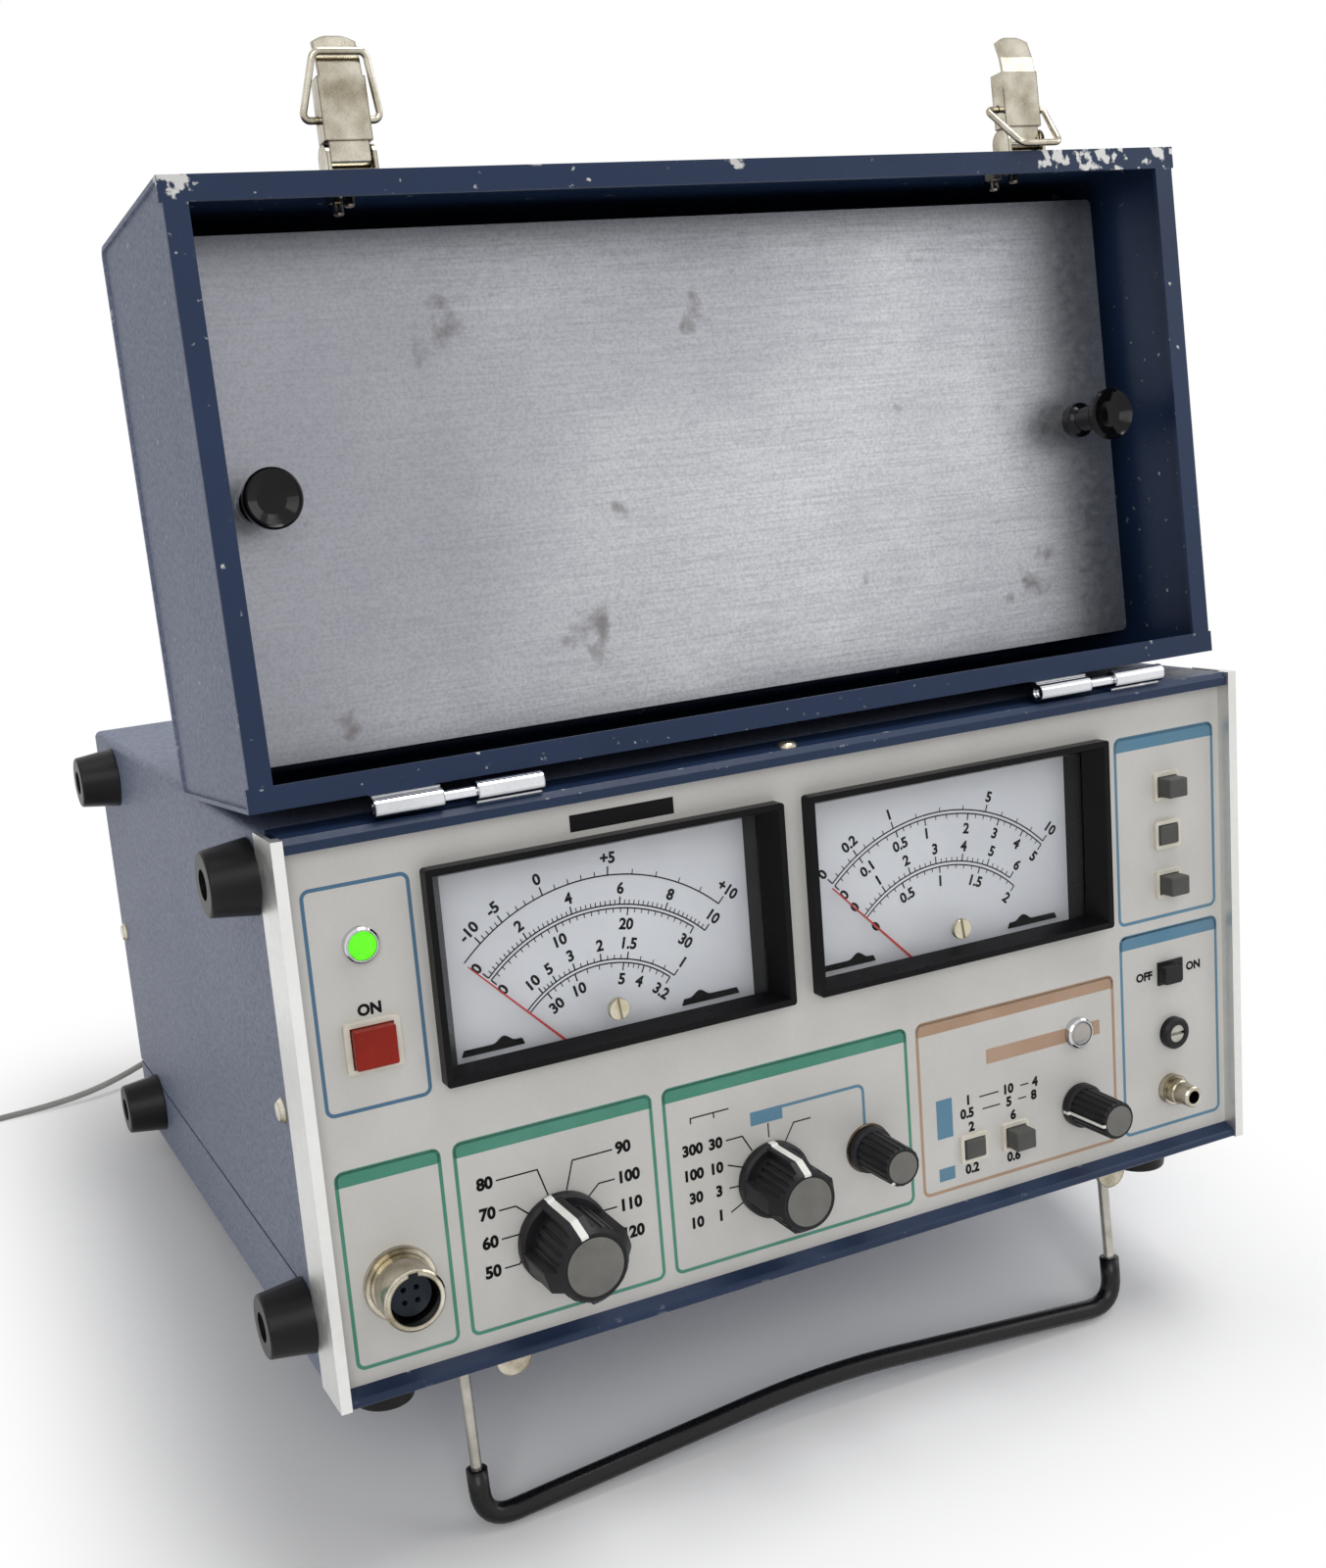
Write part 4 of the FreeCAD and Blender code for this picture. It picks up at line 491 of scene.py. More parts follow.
plate, tree, shader, colour, streaks = drawn_metal(
    "brushed_lid_plate", (218, 219, 222), (194, 196, 201), (0.03, 1.0, 1.0), (0, 0, 0), 0.3)
stain_spots = [(*on_lid((x, PLATE_FACE, s)).tolist(), r * MM) for x, s, r in STAINS]
stains = maths(tree, "MULTIPLY", worn_round(tree, stain_spots, 150.0, 0.2), 0.7)
scratch_way = mapped(tree, Rotation=(0.3, 0.9, 0.4), Scale=(0.05, 1.0, 1.0))
scratches = spread(tree, noise(tree, 260.0, 2.0, scratch_way), 0.7, 0.74)
LAYERS = (
    (spread(tree, noise(tree, 5.5, 5.0), 0.36, 0.68), (150, 152, 160)),  # clouds of tarnish
    (spread(tree, streaks, 0.4, 0.7, 0.0, 0.28), (124, 125, 130)),  # brushing
    (spread(tree, split(tree, spot(tree))["X"], -0.13, 0.06, 0.55, 0.0), (140, 141, 148)),  # painted shade, darker towards the left side
    (spread(tree, noise(tree, 1100.0, 3.0), 0.4, 0.66, 0.0, 0.28), (108, 109, 116)),  # grain
    (stains, (104, 98, 97)),
    (maths(tree, "MULTIPLY", scratches, 0.12), (228, 229, 232)))
for mask, tone in LAYERS:
    colour = blend(tree, mask, colour, srgb(*tone))
relief = maths(tree, "SUBTRACT", streaks, maths(tree, "MULTIPLY", scratches, 0.8))
feed(tree, shader, ("Base Color", colour), ("Normal", bump(tree, relief, 0.3, 0.00002)))
dress(plate, "lid_plate")

# %% [markdown]
# The covers and the lid are sheet steel in a blue paint. Their outer faces
# are sprayed to a pebbled grey-blue skin, while the lid's rim and inside and
# the rails round the panel are smooth navy, chipped to bright metal along the
# edges. The skin is only outside, so on the lid it is masked by place: a
# Mapping node turns Object coordinates into the lid's own axes, and a point
# close to the outer box, behind the rim, is skin.

# %% Painted sheet
NAVY = ((31, 48, 77), (26, 41, 67))
SKIN = ((124, 131, 151), (99, 107, 129))
CHIP = srgb(184, 184, 182)


def painted(name, colours, skin_mask, chip_scale, chip_amount, spots=()):
    """Satin paint, pebbled where skin_mask (a function of the tree) says so, chipped along its edges
    and worn through round each (x, y, z, radius) of spots, in metres."""
    material, tree, shader, varied = finish(name, *colours, 24, 0.38, 0.15, shine=0.25)
    colour, rough = varied["Colour"], varied["Roughness"]
    normal = bump(tree, varied["Height"], 0.25, 0.00003)
    if skin_mask is not None:
        mask = skin_mask(tree)
        grain = group_in(tree, pebble, Scale=1100.0)
        colour = blend(tree, mask, colour, blend(tree, grain["Mask"], srgb(*SKIN[1]), srgb(*SKIN[0])))
        rough = maths(tree, "MULTIPLY_ADD", mask, 0.12, rough)
        normal = bump(tree, maths(tree, "MULTIPLY", mask, grain["Height"]), 0.55, 0.00022)
    bare = group_in(tree, chips, Radius=0.0011, Scale=chip_scale, Amount=chip_amount)["Mask"]
    if spots:
        bare = maths(tree, "MAXIMUM", bare, worn_round(tree, spots, 330.0, 0.06))
    feed(tree, shader, ("Base Color", blend(tree, bare, colour, CHIP)), ("Roughness", rough),
         ("Metallic", bare), ("Normal", normal))
    return material


def everywhere(tree):
    """A mask that is skin all over, thinned a little by broad noise as sprayed paint is."""
    return spread(tree, noise(tree, 12.0, 2.0), 0.1, 0.3, 0.85, 1.0)


print("paint maker ready")

# %% Covers, lid and rails
INSET, CLOSE, RIM = 0.0013, 0.0005, 0.0012  # of the end plates, to the outer box, and behind the rim
lid_parts = np.concatenate([(np.array([v.co for v in nodes[n].data.vertices]) - lid_origin) @ lid_rows.T
                            for n in ("lid_shell", "lid_ends")])
lid_low, lid_high = lid_parts.min(0), lid_parts.max(0)
print("lid spans", np.round(lid_low / MM, 2), np.round(lid_high / MM, 2))


def outside_of_lid(tree):
    """1 where a lid coordinate is CLOSE to its outer box, or within INSET at the ends, and the point is
    behind the rim."""
    axis = split(tree, mapped(tree, Location=tuple((-lid_rows @ lid_origin).tolist()),
                              Rotation=Matrix(lid_rows.tolist()).to_euler()))
    low, high = lid_low.tolist(), lid_high.tolist()
    outer = maths(tree, "LESS_THAN", axis[0], low[0] + INSET)
    for operation, i, limit in (("GREATER_THAN", 0, high[0] - INSET), ("GREATER_THAN", 1, high[1] - CLOSE),
                                ("LESS_THAN", 2, low[2] + CLOSE), ("GREATER_THAN", 2, high[2] - CLOSE)):
        outer = maths(tree, "MAXIMUM", outer, maths(tree, operation, axis[i], limit))
    return maths(tree, "MULTIPLY", outer, maths(tree, "GREATER_THAN", axis[1], low[1] + RIM))


WORN = ((258.0, 13.0), (274.0, 15.0), (295.0, 8.0), (4.0, 9.0), (152.0, 5.0))  # x on the free edge, radius
worn_spots = [(*on_lid((x, 0.0, lid_high[2] / MM)).tolist(), radius * MM) for x, radius in WORN]
dress(painted("cover_skin", SKIN, everywhere, 190.0, 0.2), "top_cover", "bottom_cover")
dress(painted("lid_paint", NAVY, outside_of_lid, 210.0, 0.17, worn_spots), "lid_shell", "lid_ends")
dress(painted("rail_paint", NAVY, None, 210.0, 0.25), "front_rails")

# %% [markdown]
# The windows of the meters and the two lamp lenses are clear plastic. Clear
# parts keep a plain transmission, and only their roughness varies. The power
# lamp is lit, so its lens glows green, and the other stays clear: one node
# holds both, and the world's x tells them apart.

# %% Clear parts
def clear(name, tint, rough, through=1.0):
    """A transmitting Principled shader with faint smears in its roughness."""
    material, tree, shader = new_material(name)
    smears = spread(tree, noise(tree, 30.0, 5.0), 0.4, 0.8, rough, rough + 0.06)
    feed(tree, shader, ("Base Color", tint), ("Transmission Weight", through), ("IOR", 1.15),
         ("Roughness", smears))
    return material, tree, shader


dress(clear("meter_window", (0.97, 0.985, 0.98, 1), 0.0)[0], "meter_windows")
lens, tree, shader = clear("lamp_lens", (0.9, 0.95, 0.9, 1), 0.08, 0.6)
lit = maths(tree, "LESS_THAN", split(tree, spot(tree))["X"], 0.0)
glow = spread(tree, noise(tree, 400.0, 2.0), 0.3, 0.7, 0.7, 1.0)
lit_green = blend(tree, maths(tree, "MULTIPLY", lit, glow), (0, 0, 0, 1), srgb(96, 214, 40))
feed(tree, shader, ("Base Color", blend(tree, lit, (0.78, 0.8, 0.8, 1), srgb(110, 220, 60))),
     ("Emission Color", lit_green), ("Emission Strength", 0.75))
dress(lens, "lamp_lenses")

# %% [markdown]
# The panel's printing is screen ink: coloured boxes round each group of
# controls, a solid bar along the top of most boxes, thin black leader lines
# and numbers. Ink lies on the paint, so each mark is a flat mesh a few
# hundredths of a millimetre in front of it. Every line is a ribbon: a path
# carried sideways by half its width, with mitred corners.

# %% Ribbons, boxes and bars
PANEL_Y = 4.5
INK_LIFT = 0.03
ROUND = np.radians(np.linspace(0, 90, 7))  # angles of a rounded corner


def grid_faces(rows, columns):
    """Quad indices of a rows by columns grid of points."""
    index = np.arange(rows * columns).reshape(rows, columns)
    return np.stack([index[:-1, :-1], index[:-1, 1:], index[1:, 1:], index[1:, :-1]], -1).reshape(-1, 4)


def piece_from(name, points, faces, material, body=None):
    """A mesh object at the origin from arrays of points and faces, riding on the body if there is one."""
    mesh = bpy.data.meshes.new(name)
    mesh.from_pydata(np.asarray(points).reshape(-1, 3).tolist(), [], [list(face) for face in faces])
    mesh.materials.append(material)
    made = placed(name, mesh)
    if body is not None:
        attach(made, body)
    return made


def unit(rows):
    """Each row divided by its length."""
    return rows / np.linalg.norm(rows, axis=-1, keepdims=True)


def ribbon(path, width, closed=False):
    """Points and quads of a flat strip: path + t * width * n, with t = -1/2 and 1/2, where n is the
    mean of the two neighbouring normals, lengthened to keep the width through a corner."""
    path = np.asarray(path, float)
    ahead = np.roll(path, -1, 0) - path
    behind = path - np.roll(path, 1, 0)
    if not closed:
        ahead[-1], behind[0] = behind[-1], ahead[0]
    ahead = unit(ahead)
    mean = unit(ahead + unit(behind))
    stretch = 1 / np.clip((mean * ahead).sum(1), 0.4, 1)
    normal = np.column_stack([mean[:, 1], -mean[:, 0]]) * stretch[:, None] * width / 2
    points = np.stack([path - normal, path + normal], 1)
    if closed:
        points = np.concatenate([points, points[:1]])
    return points.reshape(-1, 2), grid_faces(len(points), 2)


def rounded_box(x0, x1, z0, z1, radius):
    """Outline of a rounded rectangle: four corner centres plus radius * (cos a, sin a), a over 90 degrees
    each."""
    a = ROUND + np.pi / 2 * np.arange(4)[:, None]
    middle = np.array([[x1 - radius, z1 - radius], [x0 + radius, z1 - radius],
                       [x0 + radius, z0 + radius], [x1 - radius, z0 + radius]])
    return (middle[:, None] + radius * np.stack([np.cos(a), np.sin(a)], -1)).reshape(-1, 2)


def bar(x0, x1, z0, z1, radius=0.0):
    """A filled bar whose upper corners are rounded: at height z it is drawn in by r - sqrt(r^2 - h^2)."""
    z = np.append(z0, z1 - radius + radius * np.sin(ROUND) if radius else z1)
    over = np.clip(z - (z1 - radius), 0, radius)
    inset = radius - np.sqrt(np.clip(radius ** 2 - over ** 2, 0, None))
    sides = [np.column_stack([x0 + inset, z]), np.column_stack([x1 - inset, z])]
    return np.stack(sides, 1).reshape(-1, 2), grid_faces(len(z), 2)


print("ribbon helpers ready")

# %% Ink and lettering
CAPITAL = 0.73  # the font's capital height


class Ink:
    """Marks of one colour, gathered as 2-D points and faces and set on a plane as one piece."""

    def __init__(self):
        self.points, self.faces, self.count = [], [], 0

    def add(self, points, faces):
        self.points.append(np.asarray(points, float))
        self.faces += [tuple(int(i) + self.count for i in face) for face in faces]
        self.count += len(points)

    def piece(self, name, material, depth, slot="panel_paint"):
        flat = np.concatenate(self.points)
        space = np.column_stack([flat[:, 0], np.full(len(flat), depth), flat[:, 1]])
        piece_from(name, on_case(space), self.faces, material, "case")
        print(name, len(flat), "points,", len(self.faces), "faces")


def lettering(text, height, x, z, turn=0.0, weight=0.05):
    """Points and faces of a word: the font's outline made a mesh, scaled to the capital height,
    centred, turned clockwise by turn degrees and moved to (x, z)."""
    curve = bpy.data.curves.new("word", "FONT")
    curve.body = text
    curve.align_x = "CENTER"
    curve.offset = weight
    curve.resolution_u = 3
    holder = placed("word", curve)
    bpy.context.view_layer.update()
    mesh = bpy.data.meshes.new_from_object(holder.evaluated_get(bpy.context.evaluated_depsgraph_get()))
    points = np.empty(3 * len(mesh.vertices), np.float32)
    mesh.vertices.foreach_get("co", points)
    flat = points.reshape(-1, 3)[:, :2].astype(float)
    faces = [tuple(face.vertices) for face in mesh.polygons]
    bpy.data.objects.remove(holder)
    bpy.data.curves.remove(curve)
    bpy.data.meshes.remove(mesh)
    flat = (flat - (flat.min(0) + flat.max(0)) / 2) * height / CAPITAL
    a = math.radians(turn)
    return flat @ np.array([[math.cos(a), -math.sin(a)], [math.sin(a), math.cos(a)]]) + (x, z), faces


def ink(name, colour, second):
    """Printing ink: a matt mottled colour."""
    return finish(name, colour, second, 60, 0.5, 0.1, relief=0.00001, shine=0.1)[0]


print("ink helpers ready")

# %% Boxes and bars on the panel
BOX_LINE, BOX_ROUND, SET_LINE = 1.0, 2.0, 0.9
HEADER_INSET, HEADER_ROUND = 0.3, 1.8
PRINT = {  # colour: two tones, boxes as (x0, x1, z0, z1, height of the header), and bars
    "green": ((90, 148, 130), (76, 138, 118),
              [(6.5, 35.0, 7.8, 61.8, 4.3), (38.2, 95.8, 7.8, 61.8, 4.3), (98.8, 178.2, 7.8, 61.8, 4.3)], []),
    "tan": ((182, 154, 132), (170, 142, 119), [(181.3, 253.8, 8.2, 61.8, 4.3)],
            [(205.7, 248.0, 44.2, 48.7)]),
    "blue": ((104, 136, 156), (94, 138, 164),
             [(256.5, 294.8, 75.7, 133.7, 4.5), (256.5, 295.0, 8.2, 72.6, 4.6)],
             [(125.5, 135.8, 44.7, 48.7), (187.2, 192.8, 25.0, 37.0), (187.2, 192.8, 11.8, 15.8)]),
    "slate": ((86, 118, 142), (80, 116, 146), [(6.5, 34.8, 76.0, 134.7, 0.0)], []),
}
bend = np.radians(np.linspace(90, 0, 6))
set_line = np.concatenate([[(135.8, 48.2)],
                           np.column_stack([160.5 + 2 * np.cos(bend), 46.2 + 2 * np.sin(bend)]),
                           [(162.5, 35.5)]])
for name, (colour, second, boxes, bars) in PRINT.items():
    marks, half = Ink(), BOX_LINE / 2
    for x0, x1, z0, z1, header in boxes:
        outline = rounded_box(x0 + half, x1 - half, z0 + half, z1 - half, BOX_ROUND)
        marks.add(*ribbon(outline, BOX_LINE, closed=True))
        if header:
            marks.add(*bar(x0 + HEADER_INSET, x1 - HEADER_INSET, z1 - header, z1 - HEADER_INSET,
                           HEADER_ROUND))
    for edges in bars:
        marks.add(*bar(*edges))
    if name == "blue":
        marks.add(*ribbon(set_line, SET_LINE))
    marks.piece("panel_boxes_" + name, ink(name + "_ink", colour, second), PANEL_Y - INK_LIFT)

# %% Numbers and leader lines on the panel
LEADER, LINK = 0.42, 0.4
LEVEL_ROWS = ((48.8, 61.0, 41.0, 63.4), (40.4, 54.0, 37.4, 57.4), (32.4, 54.6, 31.9, 54.6),
              (24.2, 53.6, 26.4, 54.6))  # height, x of the bend, and the end's height and x
LEVEL_START, LEVEL_TEXT, NUMBER_OUT = 49.2, 3.3, {2: 20.1, 3: 21.4}  # the last by count of figures
NAME_PLATE = (79.3, 109.5, 136.4, 140.9)
RANGE_ROWS = (("300", "30", [(117.4, 42.6), (122.6, 42.6), (125.4, 37.6)]),
              ("100", "10", [(117.4, 35.4), (122.0, 33.6)]),
              ("30", "3", [(117.4, 28.6), (120.9, 28.4)]),
              ("10", "1", [(117.4, 21.4), (122.0, 23.6)]))
RANGE_TEXT, RANGE_X = 3.1, (107.0, 114.2)
LINKS = ([(131.0, 44.4), (131.0, 40.2)], [(144.8, 42.6), (139.2, 42.6), (136.2, 37.8)],
         [(107.0, 50.0), (107.0, 51.6), (119.0, 51.6)], [(114.2, 50.0), (114.2, 51.4)],
         [(202.6, 34.8), (209.6, 34.8)], [(217.6, 34.8), (220.6, 34.8)],
         [(203.6, 30.8), (210.0, 30.8)], [(216.6, 30.8), (219.6, 30.8)])
WORDS = {2.6: (("OFF", 265.8, 58.3), ("ON", 285.2, 58.3)),
         2.9: (("ON", 20.8, 101.9), ("1", 198.6, 34.8), ("10", 213.4, 34.8), ("4", 223.0, 34.8),
               ("0.5", 198.0, 30.8), ("5", 213.2, 30.8), ("8", 222.4, 30.8), ("2", 199.4, 26.4),
               ("6", 214.6, 26.4), ("0.2", 199.0, 13.4), ("0.6", 214.2, 13.4))}  # by height
black = Ink()
black.add(*bar(*NAME_PLATE))
for side, numbers in ((-1, ("80", "70", "60", "50")), (1, ("90", "100", "110", "120"))):
    for number, (z, bend_x, end_z, end_x) in zip(numbers, LEVEL_ROWS):
        reach = [(LEVEL_X + side * (LEVEL_X - x), h)
                 for x, h in ((LEVEL_START, z), (bend_x, z), (end_x, end_z))]
        path = [p for i, p in enumerate(reach) if i == 0 or p != reach[i - 1]]
        black.add(*ribbon(path, LEADER))
        black.add(*lettering(number, LEVEL_TEXT, LEVEL_X + side * NUMBER_OUT[len(number)], z))
for far, near, path in RANGE_ROWS:
    for number, x in zip((far, near), RANGE_X):
        black.add(*lettering(number, RANGE_TEXT, x, path[0][1]))
    black.add(*ribbon(path, LEADER))
for path in LINKS:
    black.add(*ribbon(path, LINK))
for height, words in WORDS.items():
    for word, x, z in words:
        black.add(*lettering(word, height, x, z))
black.piece("panel_numbers", ink("black_ink", (10, 10, 12), (18, 18, 20)), PANEL_Y - INK_LIFT)

# %% [markdown]
# Each meter has a white dial with four or five curved scales. An arc is a
# ribbon whose path is a circle about the needle's pivot, and its ticks are
# short ribbons along the radius. The labels stand square to the radius, so
# each number is turned by its own angle. Angles come from the photograph,
# measured clockwise from straight up.

# %% Dial drawing
DIAL_Y = 14.8
DIAL_TEXT, LONG, SHORT = 3.1, 1.35, 0.8  # height of the numbers, and lengths of ticks by the scale's tick
REST = -44.5  # where a needle lies with no signal


def spot_of(joint):
    """A joint's place in panel millimetres."""
    return (np.array(joints[joint]["pos_m"]) - case_origin) @ case_rows.T / MM


pivots = {side: spot_of("needle_swing_" + side) for side in ("left", "right")}
print("needle pivots", {side: np.round(p, 2) for side, p in pivots.items()})


def polar(pivot, radius, degrees):
    """Points at that radius and clockwise angle from the pivot: (x + r sin a, z + r cos a)."""
    a = np.radians(np.asarray(degrees, float))
    radius = np.broadcast_to(radius, a.shape)
    return np.column_stack([pivot[0] + radius * np.sin(a), pivot[2] + radius * np.cos(a)])


def scale_arc(dial, pivot, radius, way, minor, tick, start, text):
    """One scale: its arc, a long tick and a number for each label:angle of the text, and minor ticks
    between them. way is 1 where ticks and numbers stand outside the arc and -1 where they stand inside,
    and the arc runs on to the angle start where that lies before the first number."""
    labels = [(word, float(angle)) for word, angle in (pair.split(":") for pair in text.split())]
    angles = np.array([angle for _, angle in labels])
    dial.add(*ribbon(polar(pivot, radius, np.linspace(min(start, angles.min()), angles.max(), 61)), 0.4))
    steps = np.arange(minor) / minor
    fine = np.append((angles[:-1, None] + np.diff(angles)[:, None] * steps).ravel(), angles[-1])
    for angle in fine:
        major = np.abs(angles - angle).min() < 1e-6
        ends = [radius, radius + way * tick * (LONG if major else SHORT)]
        dial.add(*ribbon(polar(pivot, ends, [angle, angle]), 0.42 if major else 0.3))
    for word, angle in labels:
        x, z = polar(pivot, radius + way * (tick * LONG + 0.75 * DIAL_TEXT), [angle])[0]
        dial.add(*lettering(word, DIAL_TEXT, x, z, turn=angle, weight=0.04))


print("dial helpers ready")

# %% Dial prints
NO_RUN = 90.0  # a start that lies after every number
SCALES = {  # radius, side, minor ticks, tick, start, numbers with their angles
    "left": ((55.1, 1, 5, 1.8, REST, "-10:-37.6 -5:-29.4 0:-15.8 +5:4.5 +10:42.3"),
             (46.9, 1, 10, 1.6, NO_RUN, "0:-43.6 2:-26 4:-8.7 6:8.7 8:26 10:43.4"),
             (45.9, -1, 10, 1.5, NO_RUN, "0:-43.6 10:-15.4 20:11.9 30:38.9"),
             (31.9, 1, 4, 1.5, REST, "10:-33.3 5:-24.8 3:-13.8 2:0.3 1.5:14.5 1:42.9"),
             (30.9, -1, 4, 1.6, REST, "30:-31.5 10:-14.6 5:12.8 4:24.6 3.2:41.3")),
    "right": ((54.0, 1, 4, 1.6, NO_RUN, "0:-43 0.2:-31.4 1:-16.5 5:18.5 10:44.1"),
              (52.9, -1, 4, 1.5, NO_RUN,
               "0:-43 0.1:-31.1 0.5:-15.9 1:-4.7 2:11.9 3:24.4 4:35.1 5:44.3"),
              (38.8, 1, 5, 1.6, NO_RUN, "0:-43.7 1:-29.6 2:-15.4 3:-1.8 4:11.8 5:25.7 6:40"),
              (37.7, -1, 5, 1.4, NO_RUN, "0:-43.7 0.5:-20.6 1:0 1.5:22.1 2:44.3")),
}
dial_ink = ink("dial_ink", (12, 12, 14), (22, 22, 24))
for side, scales in SCALES.items():
    dial = Ink()
    for scale in scales:
        scale_arc(dial, pivots[side], *scale)
    dial.piece("dial_print_" + side, dial_ink, DIAL_Y - INK_LIFT, slot="scale_white")

# %% [markdown]
# Two small black lugs stand at the foot of each dial, one in each lower
# corner, where the scale plate is held. Each is a low bar with a round hump
# in its middle: a height profile along x, carried forward in y.

# %% Dial lugs
LUG_STEPS, LUG_Z, LUG_WIDTH, LUG_HEIGHT, LUG_HUMP, LUG_DEPTH = 25, 80.0, 18.0, 1.7, 1.7, 0.5
LUG_SPOTS = ((-33.0, 0.18), (32.4, -0.18))  # from the pivot, and the hump's shift
HUMP_HALF, LUG_TAPER = 0.18, 0.04


def lug(x, shift):
    """A bar whose top is LUG_HEIGHT, plus LUG_HUMP * cos^2 over a third of it round shift; rows run over
    the top from back to front, so the grid closes the front face as well."""
    u = np.linspace(-0.5, 0.5, LUG_STEPS)
    v = u - shift
    top = LUG_HEIGHT + LUG_HUMP * np.where(np.abs(v) < HUMP_HALF, np.cos(np.pi * v / 2 / HUMP_HALF) ** 2, 0.0)
    top *= np.clip((0.5 - np.abs(u)) / LUG_TAPER, 0, 1)
    front = DIAL_Y - LUG_DEPTH
    return np.concatenate([np.column_stack([x + LUG_WIDTH * u, np.full(LUG_STEPS, y), LUG_Z + top * share])
                           for y, share in ((DIAL_Y, 0.0), (DIAL_Y, 1.0), (front, 1.0), (front, 0.0))])


lugs = [lug(pivot[0] + offset, shift) for pivot in pivots.values() for offset, shift in LUG_SPOTS]
lug_faces = np.concatenate([grid_faces(4, LUG_STEPS)[:, ::-1] + 4 * LUG_STEPS * i for i in range(len(lugs))])
piece_from("dial_lugs", on_case(np.concatenate(lugs)), lug_faces, plain["meter_black"], "case")
print(len(lugs), "lugs")

# %% [markdown]
# A grey disc closes the end of every knob, and a white line or dot shows
# where it points. The disc is slightly domed, so its profile is spun round
# the knob's axis. The line runs along the ridge of the knob: from the disc's
# edge outwards and down to the skirt.

# %% Spun surfaces and strips
TOWARDS_VIEWER = ((1, 0, 0), (0, 0, 1), (0, -1, 0))
HANGING = ((1, 0, 0), (0, -1, 0), (0, 0, -1))
UPRIGHT = ((1, 0, 0), (0, 1, 0), (0, 0, 1))


def ring_faces(rows, turns):
    """Quad indices of rows of points that close round an axis."""
    index = np.arange(rows * turns).reshape(rows, turns)
    after = np.roll(index, -1, 1)
    return np.stack([index[:-1], after[:-1], after[1:], index[1:]], -1).reshape(-1, 4)


def spun(place, centre, axes, profile, turns=48):
    """A surface of revolution: centre + h w + r (cos a u + sin a v) for each (r, h) of the profile and
    each angle a, where u, v, w are the rows of axes; place takes millimetres to the world.
    The profile runs up the outside and in to the axis, so that faces point outwards."""
    r, h = np.asarray(profile, float).T[:, :, None, None]
    a = np.linspace(0, 2 * np.pi, turns, endpoint=False)[:, None]
    u, v, w = np.asarray(axes, float)
    points = np.asarray(centre, float) + h * w + r * (np.cos(a) * u + np.sin(a) * v)
    return place(points.reshape(-1, 3)), ring_faces(len(r), turns)


def weld(piece):
    """Merges the coincident points at a spun surface's pole and drops the faces that fall flat."""
    shape = bmesh.new()
    shape.from_mesh(piece.data)
    bmesh.ops.remove_doubles(shape, verts=shape.verts, dist=1e-7)
    bmesh.ops.dissolve_degenerate(shape, edges=shape.edges, dist=1e-8)
    shape.to_mesh(piece.data)
    shape.free()
    return piece


def ridge_line(x, z, degrees, profile, width):
    """A strip along (r, y) pairs in the plane at that clockwise angle, its width square to that plane."""
    r, y = np.asarray(profile, float).T[:, :, None]
    a = math.radians(degrees)
    side = np.array([math.cos(a), 0, -math.sin(a)]) * width / 2
    middle = np.array([x, 0, z]) + r * np.array([math.sin(a), 0, math.cos(a)]) + y * np.array([0, 1, 0])
    return np.stack([middle - side, middle + side], 1).reshape(-1, 3), grid_faces(len(r), 2)


print("spinning helpers ready")

# %% Knob caps and pointer lines
SET_X, SET_Z = 163.1, 28.9
WING_KNOBS = {"level": (LEVEL_X, LEVEL_Z, 25.6, 21.0, 16.3, -15.0),
              "range": (131.0, 28.2, 21.8, 19.5, 14.1, 0.0)}
SMALL_KNOBS = {"set": (SET_X, SET_Z, 13.5, 17.0, 9.6, -140.0),
               "output": (239.4, 23.7, 13.5, 17.0, 9.6, -96.0)}
KNOB_BACK = PANEL_Y - 0.4
WING_STROKE, SMALL_STROKE = 2.1, 1.0
dome = np.linspace(0, 1, 9)
for name, (x, z, width, height, disc, angle) in {**WING_KNOBS, **SMALL_KNOBS}.items():
    front, r, skirt = PANEL_Y - height, disc / 2, width / 2
    face = np.column_stack([(r - 0.35) * dome, 0.13 + 0.05 * (1 - dome ** 2)])
    profile = np.concatenate([face, [(r - 0.1, 0.08), (r, -0.1), (r, -0.5)]])
    points, faces = spun(on_case, (x, front, z), TOWARDS_VIEWER, profile[::-1])
    weld(piece_from(name + "_knob_disc", points, faces, plain["knob_cap_grey"], name + "_dial"))
    foot = [(skirt + 0.05, KNOB_BACK - 2.2), (skirt + 0.05, KNOB_BACK - 0.3)]
    if name in WING_KNOBS:
        wing = skirt - 0.5
        slope = 4.5 * (wing - r - 0.9) / (wing - r - 0.7)
        line = [(r + 0.2, front - 0.06), (r + 0.9, front - 0.06), (wing + 0.06, front + slope - 0.05),
                (wing + 0.06, KNOB_BACK - 2.8), *foot]
    else:
        line = [(r + 0.1, front - 0.05), (r + 0.5, front - 0.05), (r + 0.96, front + 0.45)]
        if name == "output":
            line += [(skirt - 0.73, KNOB_BACK - 2.65), *foot]
    points, faces = ridge_line(x, z, angle, line, WING_STROKE if name in WING_KNOBS else SMALL_STROKE)
    piece_from(name + "_knob_line", on_case(points), faces, plain["pointer_white"], name + "_dial")
print("discs and lines on", len(WING_KNOBS) + len(SMALL_KNOBS), "knobs")

# %% [markdown]
# The zero screw of each meter is a pale slotted head on the window. A disc
# with a bar cut from it would do, but a grid is shorter: columns across x,
# whose height drops in the slot. It stands for the CAD screw, and its slot is
# nearly upright, as the photograph shows it.

# %% Zero screws
WINDOW_Y, ZERO_Z, SLOT_LEAN = 6.3, 86.6, math.radians(-8)
HEAD_RADIUS, SLOT, SLOT_DEPTH, HEAD_TALL = 3.0, 0.7, 0.7, 1.4
BESIDE = 18  # columns on each side of the slot


